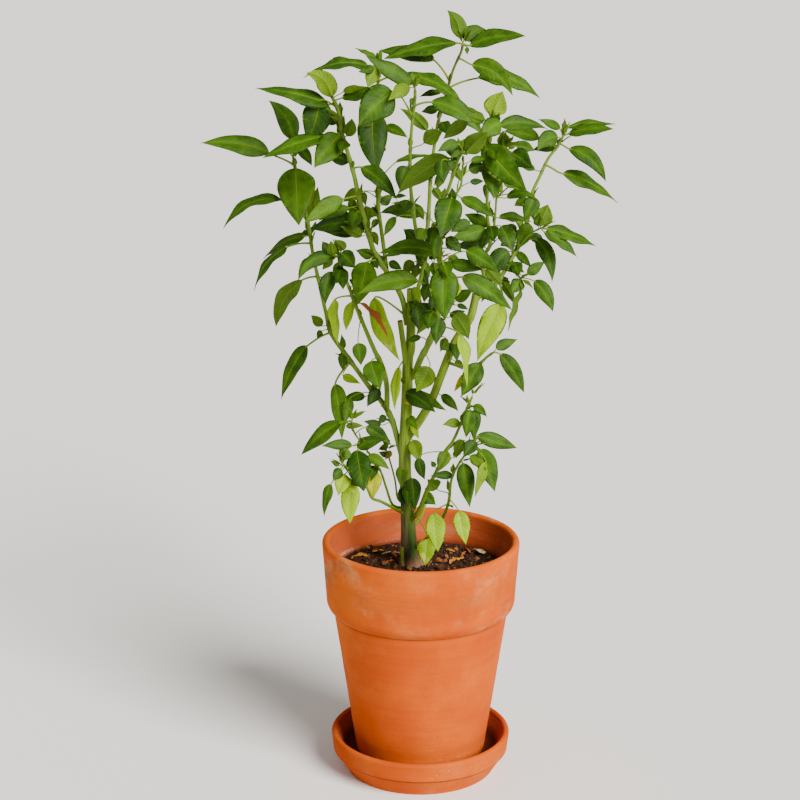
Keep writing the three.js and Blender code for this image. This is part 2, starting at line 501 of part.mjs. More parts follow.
/** One leaf: a stalk rooted in the stem's centreline that widens into an arched, folded blade. */
function leaf(stem, row) {
  const [baseAcross, baseDown, tipAcross, tipDown, seen, reach] = row;
  const root = nearestOnStem(stem, row[6] ?? baseAcross, row[7] ?? baseDown);
  const stalkSpan = Math.hypot(baseAcross - root.mark[0], baseDown - root.mark[1]);
  const bladeSpan = Math.hypot(tipAcross - baseAcross, tipDown - baseDown);
  const baseReach = (reach * stalkSpan) / (stalkSpan + bladeSpan);
  const base = place([baseAcross, baseDown, root.depth + baseReach]);
  const tip = place([tipAcross, tipDown, root.depth + reach]);

  // the blade's chord, and the directions across it as seen and in depth
  const chord = tip.clone().sub(base);
  const length = chord.length();
  chord.normalize();
  const sight = base.clone().lerp(tip, 0.5).sub(EYE);
  const acrossSight = new THREE.Vector3().crossVectors(chord, sight).normalize();
  const inDepth = new THREE.Vector3().crossVectors(chord, acrossSight).normalize();

  // upward and outward from the stem: where the arch rises and the upper face looks
  const outward = base.clone().lerp(tip, 0.5).sub(root.point).setZ(0).normalize();
  const lift = UP.clone().addScaledVector(outward, BLADE_OUTWARD);
  lift.addScaledVector(chord, -lift.dot(chord)).normalize();

  // the blade is turned about its chord until it looks as wide as its row says
  const width = Math.max(seen * (sight.length() / SHEET_DISTANCE), BLADE_ASPECT * length);
  const cosine = Math.min((seen * sight.length()) / SHEET_DISTANCE / width, 1);
  const sine = Math.sqrt(1 - cosine * cosine);
  let side = null;
  let face = null;
  for (const sign of [1, -1]) {
    const trySide = acrossSight.clone().multiplyScalar(cosine).addScaledVector(inDepth, sign * sine);
    const tryFace = new THREE.Vector3().crossVectors(chord, trySide);
    if (face === null || Math.abs(tryFace.dot(lift)) > Math.abs(face.dot(lift))) {
      side = trySide;
      face = tryFace;
    }
  }
  if (face.dot(lift) < 0) {
    face.negate();
    side.negate();
  }

  const level = Math.sqrt(1 - chord.z * chord.z);
  const arch = length * BLADE_ARCH * THREE.MathUtils.lerp(BLADE_ARCH_HANGING, 1, level);
  // a parabola over the chord, highest a little before its middle
  const midrib = (share) => base.clone().lerp(tip, share)
    .addScaledVector(lift, arch * 4 * share * (1 - share) * (1.25 - 0.5 * share));
  const outline = length < SMALL_LEAF ? SMALL_BLADE_OUTLINE : BLADE_OUTLINE;
  const alongBlade = (share) => midrib(share + 0.02).sub(midrib(share - 0.02)).normalize();

  // the stalk: straight where it is short, with one bend where it is long
  const stalk = [root.point];
  if (root.point.distanceTo(base) > PETIOLE_BEND_LENGTH) {
    stalk.push(root.point.clone().lerp(base, PETIOLE_BEND_AT)
      .addScaledVector(UP, root.point.distanceTo(base) * PETIOLE_BEND_RISE));
  }
  if (root.point.distanceTo(base) > SHORT_PETIOLE_LENGTH) stalk.push(base);
  const rings = stalk.map((centre, index) => {
    const along = tangentAt([...stalk, midrib(0.1)], index);
    return bladeRing(centre, chord, along, side, face, PETIOLE_RADIUS, 0, PETIOLE_RADIUS);
  });
  for (const [share, breadth] of outline) {
    const half = (width / 2) * breadth;
    rings.push(bladeRing(midrib(share), chord, alongBlade(share), side, face,
      half, half * BLADE_FOLD, BLADE_THICKNESS));
  }
  return loft(rings, tip);
}

/** The tubes of a group of stems, joined; extra thickens them for a clearance cut. */
function stemTubes(stems, sides, extra = 0) {
  return stems
    .map((stem) => toManifold(tube(stem.marks.map(place), stemRadii(stem), sides, extra)))
    .reduce((all, next) => all.add(next));
}

function withLeaves(solid, stems) {
  return stems
    .flatMap((stem) => stem.leaves.map((row) => toManifold(leaf(stem, row))))
    .reduce((all, next) => all.add(next), solid);
}

/** Solid of revolution about Z from a profile of radius and height. */
function turned(path, divisions) {
  const geometry = new THREE.LatheGeometry(path.getPoints(divisions), LATHE_SIDES);
  geometry.rotateX(Math.PI / 2);
  return geometry;
}

// ---- saucer ------------------------------------------------------------------------------

function saucerGeometry() {
  const wallTop = SAUCER_BAND_LOW_RADIUS - SAUCER_STEP;
  const lip = (SAUCER_BAND_RADIUS - SAUCER_RIM_INSIDE) / 2;
  const [coveWidth, coveHeight] = SAUCER_COVE;
  const profile = new THREE.Path();
  profile.moveTo(0, 0);
  profile.lineTo(SAUCER_FOOT_RADIUS, 0);
  profile.lineTo(wallTop, SAUCER_BAND_BOTTOM - SAUCER_BAND_BEVEL / 2);
  profile.lineTo(SAUCER_BAND_LOW_RADIUS, SAUCER_BAND_BOTTOM + SAUCER_BAND_BEVEL / 2);
  profile.lineTo(SAUCER_BAND_RADIUS, SAUCER_HEIGHT - lip);
  profile.absarc(SAUCER_BAND_RADIUS - lip, SAUCER_HEIGHT - lip, lip, 0, Math.PI, false);
  profile.lineTo(SAUCER_FLOOR_RADIUS + coveWidth, SAUCER_FLOOR + coveHeight);
  profile.quadraticCurveTo(SAUCER_FLOOR_RADIUS + 0.6 * coveWidth, SAUCER_FLOOR,
    SAUCER_FLOOR_RADIUS, SAUCER_FLOOR);
  profile.lineTo(0, SAUCER_FLOOR);
  return turned(profile, 3);
}

// ---- pot ---------------------------------------------------------------------------------

function potGeometry() {
  const lipCentre = POT_RIM_RADIUS - POT_LIP_ROUND;
  const floor = POT_FOOT + POT_FLOOR_THICKNESS;
  const profile = new THREE.Path();
  profile.moveTo(DRAIN_RADIUS, POT_FOOT);
  profile.lineTo(POT_FOOT_RADIUS, POT_FOOT);
  profile.quadraticCurveTo(POT_HEEL_RADIUS - 1.4, POT_FOOT, POT_HEEL_RADIUS, POT_TOP - POT_HEEL_DEPTH);
  profile.lineTo(POT_SHOULDER_RADIUS, POT_TOP - POT_SHOULDER_DEPTH);
  profile.quadraticCurveTo(POT_BAND_LOW_RADIUS - 0.6, POT_TOP - POT_BAND_DEPTH - POT_BAND_UNDERCUT,
    POT_BAND_LOW_RADIUS, POT_TOP - POT_BAND_DEPTH);
  profile.lineTo(POT_RIM_RADIUS, POT_TOP - POT_LIP_ROUND);
  profile.absarc(lipCentre, POT_TOP - POT_LIP_ROUND, POT_LIP_ROUND, 0, Math.PI, false);
  profile.lineTo(POT_INNER_BAND_RADIUS, POT_TOP - POT_BAND_DEPTH);
  profile.lineTo(POT_INNER_SHOULDER_RADIUS, POT_TOP - POT_INNER_SHOULDER_DEPTH);
  profile.lineTo(POT_INNER_FOOT_RADIUS, floor);
  profile.lineTo(DRAIN_RADIUS, floor);
  profile.lineTo(DRAIN_RADIUS, POT_FOOT);
  return turned(profile, 3);
}

// ---- soil --------------------------------------------------------------------------------

function soilSolid(hole) {
  const bottom = POT_FOOT + POT_FLOOR_THICKNESS + GAP;
  const top = POT_TOP - SOIL_DEPTH;
  const bandSlope = (POT_MOUTH_RADIUS - POT_INNER_BAND_RADIUS) / (POT_BAND_DEPTH - POT_LIP_ROUND);
  const topRadius = POT_MOUTH_RADIUS - bandSlope * (SOIL_DEPTH - POT_LIP_ROUND) - SOIL_CLEARANCE;
  const profile = new THREE.Path();
  profile.moveTo(0, bottom);
  profile.lineTo(POT_INNER_FOOT_RADIUS - SOIL_CLEARANCE, bottom);
  profile.lineTo(POT_INNER_SHOULDER_RADIUS - SOIL_CLEARANCE, POT_TOP - POT_INNER_SHOULDER_DEPTH);
  profile.lineTo(POT_INNER_BAND_RADIUS - SOIL_CLEARANCE, POT_TOP - POT_BAND_DEPTH - 0.4);
  profile.lineTo(topRadius, top);
  for (const share of SOIL_RINGS) profile.lineTo(topRadius * share, top);
  profile.lineTo(0, top);
  const geometry = turned(profile, 1);
  const position = geometry.attributes.position;
  for (let index = 0; index < position.count; index += 1) {
    const radius = Math.hypot(position.getX(index), position.getY(index));
    if (position.getZ(index) > top - 1 && radius < topRadius - 1) {
      const turn = Math.atan2(position.getY(index), position.getX(index));
      const mound = SOIL_MOUND * (1 - (radius / topRadius) ** 2);
      const wave = Math.sin(SOIL_RIPPLE_TURNS * turn + radius / SOIL_RIPPLE_LENGTH);
      const ripple = radius > 1 ? SOIL_RIPPLE * wave : 0;
      position.setZ(index, top + mound + ripple);
    }
  }
  return toManifold(geometry).subtract(hole);
}

// ---- trunk and leafy stems ---------------------------------------------------------------

/** The trunk, its pruned limb and stub, and the short shoots and leaves that they carry. */
function trunkWood(extra = 0) {
  const [main, ...others] = TRUNK_STEMS;
  const foot = place(main.marks[0]);
  const path = [foot.clone().setZ(foot.z - ROOT_DEPTH), ...main.marks.map(place)];
  const radii = [main.radii[0] * ROOT_TAPER, ...main.radii];
  const trunk = toManifold(tube(path, radii, TRUNK_SIDES, extra, TRUNK_FLUTE));
  return trunk.add(stemTubes(others, STEM_SIDES, extra));
}

const PARENT_STEM = {
  stem_left_front: 'stem_far_left',
  stem_middle_back: 'stem_left_middle',
  stem_middle: 'stem_tallest',
  stem_right_front: 'stem_far_right',
};

function leafyStem(name, trunkClearance) {
  const stems = LEAFY_STEMS[name];
  let solid = withLeaves(stemTubes(stems, STEM_SIDES), stems).subtract(trunkClearance);
  if (PARENT_STEM[name]) {
    solid = solid.subtract(stemTubes(LEAFY_STEMS[PARENT_STEM[name]], STEM_SIDES, GAP));
  }
  return largestBody(solid);
}

// ---- assembly ----------------------------------------------------------------------------

const TERRACOTTA = new THREE.MeshStandardMaterial({ color: 0xd46a32, roughness: 0.85, metalness: 0 });
const EARTH = new THREE.MeshStandardMaterial({ color: 0x2e2019, roughness: 1, metalness: 0 });
const WOOD = new THREE.MeshStandardMaterial({ color: 0x6c7a35, roughness: 0.8, metalness: 0 });
const LEAF_GREEN = new THREE.MeshStandardMaterial({ color: 0x4d7d1c, roughness: 0.5, metalness: 0 });
const LEAF_PALE = new THREE.MeshStandardMaterial({ color: 0x86a32c, roughness: 0.55, metalness: 0 });
const PALE_STEMS = ['shoot_right_pale', 'shoot_left_small'];

const plant = new THREE.Group();

function addMesh(name, geometry, material) {
  const mesh = new THREE.Mesh(geometry, material.clone());
  mesh.name = name;
  plant.add(mesh);
}

const trunkClearance = trunkWood(GAP);
addMesh('saucer', saucerGeometry(), TERRACOTTA);
addMesh('pot', potGeometry(), TERRACOTTA);
addMesh('soil', toGeometry(soilSolid(trunkClearance)), EARTH);
addMesh('trunk', toGeometry(withLeaves(trunkWood(), TRUNK_STEMS)), WOOD);
for (const name of Object.keys(LEAFY_STEMS)) {
  const colour = PALE_STEMS.includes(name) ? LEAF_PALE : LEAF_GREEN;
  addMesh(name, toGeometry(leafyStem(name, trunkClearance)), colour);
}

export default plant;
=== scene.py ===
"""Potted chilli pepper plant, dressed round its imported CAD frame, in metres.

The stems and leaves are laid out on an elevation sheet, 800 squares wide and high, drawn as the
plant is seen from EYE. A mark on it is (across, down, depth): squares from the sheet's top left
corner, and the millimetres that the mark lies behind the pot's axis before CROWN_SPREAD.
"""

import math
from typing import NamedTuple

import bpy
import numpy as np
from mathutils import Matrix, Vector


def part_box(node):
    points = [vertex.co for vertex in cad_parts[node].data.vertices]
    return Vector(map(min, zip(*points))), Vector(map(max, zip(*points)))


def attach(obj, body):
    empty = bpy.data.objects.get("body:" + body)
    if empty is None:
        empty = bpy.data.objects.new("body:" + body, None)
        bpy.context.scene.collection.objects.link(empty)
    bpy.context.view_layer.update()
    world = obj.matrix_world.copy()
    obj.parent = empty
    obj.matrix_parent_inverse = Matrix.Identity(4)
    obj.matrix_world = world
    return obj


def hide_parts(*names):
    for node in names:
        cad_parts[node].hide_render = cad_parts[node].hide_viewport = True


bl_info = {
    "name": "Potted Chilli Pepper Plant",
    "version": (1, 0, 0),
    "blender": (4, 5, 0),
    "location": "View3D > Sidebar > Chilli Plant",
    "description": "Dresses a potted chilli plant: pot, saucer, soil, trunk, stems and leaves",
    "category": "Add Mesh",
}

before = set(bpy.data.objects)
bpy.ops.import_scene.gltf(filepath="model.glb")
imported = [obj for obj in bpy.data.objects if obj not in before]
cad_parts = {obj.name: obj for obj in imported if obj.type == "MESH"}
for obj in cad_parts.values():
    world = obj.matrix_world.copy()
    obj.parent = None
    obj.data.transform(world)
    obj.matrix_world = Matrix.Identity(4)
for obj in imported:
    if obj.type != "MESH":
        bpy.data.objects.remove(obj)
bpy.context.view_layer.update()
BODY = "root"

# ---- elevation sheet ----

EYE = np.array([-0.0211, -2.0676, 0.9917])
SHEET_PITCH = math.radians(16.14)  # how far the sheet is looked down on
SHEET_MIDDLE = 400
SHEET_DISTANCE = 2167  # from EYE to the sheet, in squares
TRUNK_BEHIND_AXIS = 15
CROWN_SPREAD = 1.7
UP = np.array([0.0, 0.0, 1.0])

# ---- pot, saucer and soil, as the CAD frame has them ----

POT_LOW, POT_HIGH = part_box("pot")
SAUCER_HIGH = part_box("saucer")[1]
POT_RIM_RADIUS = POT_HIGH.y
POT_TOP = POT_HIGH.z
POT_FOOT = POT_LOW.z
SAUCER_BAND_RADIUS = SAUCER_HIGH.y
SAUCER_HEIGHT = SAUCER_HIGH.z
SOIL_DROP = 0.036  # from the rim's top to the soil

POT_LIP = 0.00385  # radius of the round lip
POT_BAND_DEPTH = 0.063  # from the rim's top to the band's lower corner
POT_BAND_LOW_RADIUS = 0.096
POT_BAND_UNDERCUT = 0.006  # height of the round corner under the band
POT_SHOULDER_DEPTH = 0.0745
POT_SHOULDER_RADIUS = 0.0888
POT_HEEL_DEPTH = 0.219
POT_HEEL_RADIUS = 0.0672
POT_FOOT_RADIUS = 0.0602
POT_INNER_BAND_RADIUS = 0.089
POT_INNER_SHOULDER_DEPTH = 0.079
POT_INNER_SHOULDER_RADIUS = 0.0815
POT_FLOOR_THICKNESS = 0.0097
POT_INNER_FOOT_RADIUS = 0.059
DRAIN_RADIUS = 0.010
POT_GROOVE = 0.0004  # depth of the fine groove under the band
SOIL_TOP = POT_TOP - SOIL_DROP
SOIL_MOUND = 0.0022  # how far the soil's middle stands over its edge
SOIL_LUMPS = ((0.55, 0.02, 1), (0.3, 0.008, 2), (0.22, 0.0035, 4))  # (share, size, seed)
SOIL_OVERLAP = 0.0012  # how far the edge of the soil's top reaches into the wall
SOIL_CLEARANCE = 0.0008  # between the soil and the wall, below its top
SOIL_LIFT = 0.0003  # between the soil and the pot's floor
CRUMB_MARGIN = 0.002  # between the crumbs' middles and the wall
CRUMB_SPREAD = 0.42  # of the logarithm of their sizes

SAUCER_FOOT_RADIUS = 0.075
SAUCER_BAND_BOTTOM = 0.020
SAUCER_BAND_LOW_RADIUS = 0.0902
SAUCER_BAND_BEVEL = 0.0016  # height over which the wall below steps out to the band
SAUCER_STEP = 0.002  # how far the band stands out from the wall below it
SAUCER_LIP = 0.0033
SAUCER_FLOOR = 0.016
SAUCER_FLOOR_RADIUS = 0.072
SAUCER_COVE = 0.008
SAUCER_WET_HEIGHT = SAUCER_FLOOR + 0.006  # where water has stood in the saucer
MIDDLE_RADIUS = 0.004  # of the smallest ring that closes the saucer or the soil

# ---- how finely pieces are made ----

TURNED_SIDES = 180
BLADE_ROWS = 20
BLADE_RING = 24
STEM_STEP = 0.003
STEM_SIDES = 12
PETIOLE_ROWS = 12
PETIOLE_SIDES = 8
TRUNK_STEP = 0.0016
TRUNK_SIDES = 72
SOIL_RINGS = 84
SOIL_SIDES = 220
CRUMB_SIDES = 6
LITTER_ROWS = 12
LITTER_RING = 12

# ---- how the wood, the stems and the blades are shaped and marked ----

GREEN_STRIP = (-0.94, -0.34)  # which way round the trunk its green strip faces
WOOD_UP = 13  # how much shorter the wood's noise is up it than round a ring of 1 m radius
WOOD_CELL = 0.55  # size of the ridges' noise on that ring
WOOD_FINE_CELL = 0.27
AGED_HEIGHT = 0.11  # over which ridged bark gives way to green bark
FLARE_HEIGHT = 0.008  # over which the trunk's flared foot dies away
WOOD_CUT = ((0.0002, 0.93), (0.0004, 0.55), (0.0001, 0.2))  # rings of a cut end: (way out, size)
TRUNK_UNDER = 0.014  # how far the trunk's wood runs on under its lowest mark
STUMP_UNDER = 0.006
JOINT_LENGTH = 0.0028  # along the stem, of the swelling where a leaf springs
TIP_ROUNDING = 0.0015  # length over which a stem's tip is rounded off
BLADE_ARCH = 0.05  # rise of a midrib's middle, to its length
FULLNESS = 1.14  # a blade's width to the width seen that its row gives
LIFT_LEAN = 0.7  # how far a blade's upper face leans out, to how far it faces up
LEAST_WIDTH = 0.34  # of a blade, to its length
RIB_WIDTH = 0.0011  # of the midrib that stands out under a blade
RIB_HEIGHT = 0.0009
BUD_SHARE = 0.7  # of the joints have very young leaves
BUDS_AT_TIP = 3
BUD_STALK = 0.0028
BUD_LENGTHS = (0.007, 0.017)
BUD_WIDTH = 0.42  # to its length
VEIN_COUNT = 8.5  # side veins from a blade's base to its tip
VEIN_SLANT = 0.2  # how far towards the tip a side vein runs, to the blade's length
VEIN_CURVE = 1.15  # power of |across| that bends the side veins
VEIN_STAGGER = 0.055  # how far one half's veins lie ahead of the other's
WANDER_RING = 0.05  # radius of the ring that a turned wall's noise is read round
WANDER_CELL = 0.03  # size of that noise
WANDER_UP = 2.5  # how much shorter it is up the wall than round it
WANDER_FINE = 3.5  # how much shorter again its finer part is

# ---- seeds of what is drawn at random ----

POT_SEED = 3
SAUCER_SEED = 8
CRUMB_SEED = 11
LITTER_SEED = 23
BLADE_SEED = 40  # of the first leafy stem; each other one has the next number
TRUNK_BLADE_SEED = 900

# ---- stage ----

FLOOR_HALF_WIDTH = 12.0
SENSOR_WIDTH = 36.0  # in mm
WARM_WHITE = (1.0, 0.97, 0.92)  # of the key light and the sky
SOFT_WHITE = (1.0, 0.99, 0.97)  # of the fill light
KEY_SPOT, KEY_AIM = (1.7, -2.1, 2.2), (0, 0, 0.4)
FILL_SPOT, FILL_AIM = (-1.8, -1.2, 1.3), (0, 0, 0.35)
FILL_SIZE = 1.8

# ---- leaf tones: how yellow, how dried, and how light, each from 0 to 1; how light paints light and shade on a leaf as well as its own green ----

GREEN = (0.0, 0.0, 0.45)
DARK_SHADED = (0.0, 0.0, 0.1)
BRIGHT_SUNLIT = (0.07, 0.0, 0.75)
OLIVE = (0.22, 0.05, 0.45)
PALE = (0.2, 0.05, 0.6)
LIME = (0.48, 0.0, 0.95)
YELLOW = (0.85, 0.12, 0.8)
DRY = (0.7, 1.0, 0.5)
RUSTY = (0.1, 0.32, 0.3)
YOUNG = (0.14, 0.0, 0.65)


class Stem(NamedTuple):
    """A stem's marks on the sheet, its radii in mm (at each mark, or at its foot and top) and
    its leaves: (base across, base down, tip across, tip down, width seen, reach, tone), and the
    mark on the stem that the stalk springs from, where it isn't the nearest. The reach is how
    much deeper than the stem the tip lies, in mm."""

    marks: list
    radii: tuple
    leaves: list


TRUNK_STEMS = [
    Stem(
        [(411, 566, 15), (409, 545, 15), (408, 522, 15), (407, 500, 15), (405, 470, 15),
         (405, 440, 15), (407, 400, 15), (408, 360, 15), (410.6, 345, 15), (411, 289, 15)],
        (9.4, 8.6, 7.4, 6.6, 6.2, 6.0, 5.8, 5.2, 4.8, 4.2),
        [(399, 367, 395, 411, 9, -20, LIME, 408, 355),
         (412, 392, 447, 411, 11, -16, BRIGHT_SUNLIT, 406, 400),
         (406, 393, 436, 413, 16, -30, DARK_SHADED, 407, 404), (404, 399, 419, 403, 9, -14, YELLOW),
         (406, 383, 399, 378, 6, -12, DARK_SHADED), (412, 478, 415, 512, 15, -24, DARK_SHADED),
         (404, 486, 402, 509, 10, -20, DARK_SHADED), (408, 483, 408, 507, 10, -27, DARK_SHADED),
         (402, 466, 401, 488, 10, -18, OLIVE), (411, 424, 419, 439, 7, -16, LIME),
         (409, 416, 418, 431, 8, -22, BRIGHT_SUNLIT), (413, 440, 420, 463, 13, -18, OLIVE),
         (415, 287, 420, 303, 9, -14, OLIVE), (416, 304, 419, 332, 15, -16, DARK_SHADED)]),
    Stem(
        [(405, 440, 15), (420, 420, 13), (432, 399, 12), (441, 376, 10), (453.5, 345, 8),
         (468, 322, 6), (472, 313, 5), (477, 290, 5)],
        (4.4, 4.4, 4.3, 4.2, 4.2, 4.1, 4.1, 3.9),
        [(441, 395, 459, 412, 9, -10, GREEN), (452, 345, 441, 350, 8, -10, DARK_SHADED),
         (455, 341, 457, 362, 10, -16, DARK_SHADED), (455, 361, 463, 370, 7, -6, DARK_SHADED),
         (487, 288, 481, 303, 6, -4, DARK_SHADED)]),
    Stem(
        [(406, 368, 15), (404.5, 353, 13), (400, 321, 10)],
        (2.9, 2.9, 2.8),
        []),
    Stem(
        [(447, 362, 9), (460, 366, 0), (477, 365, -8), (487, 357, -12), (494, 352, -14)],
        (1.8, 1.6, 1.5, 1.3, 1.2),
        [(496, 349, 518, 339, 10, 10, GREEN), (500, 354, 524, 393, 14, -14, GREEN),
         (481, 363, 461, 397, 18, -8, GREEN), (468, 373, 454, 392, 7, -4, YELLOW)]),
]
STUMP = Stem([(402.5, 564, 9), (402.3, 556, 9), (402.0, 547, 9)], (1.9, 1.7), [])

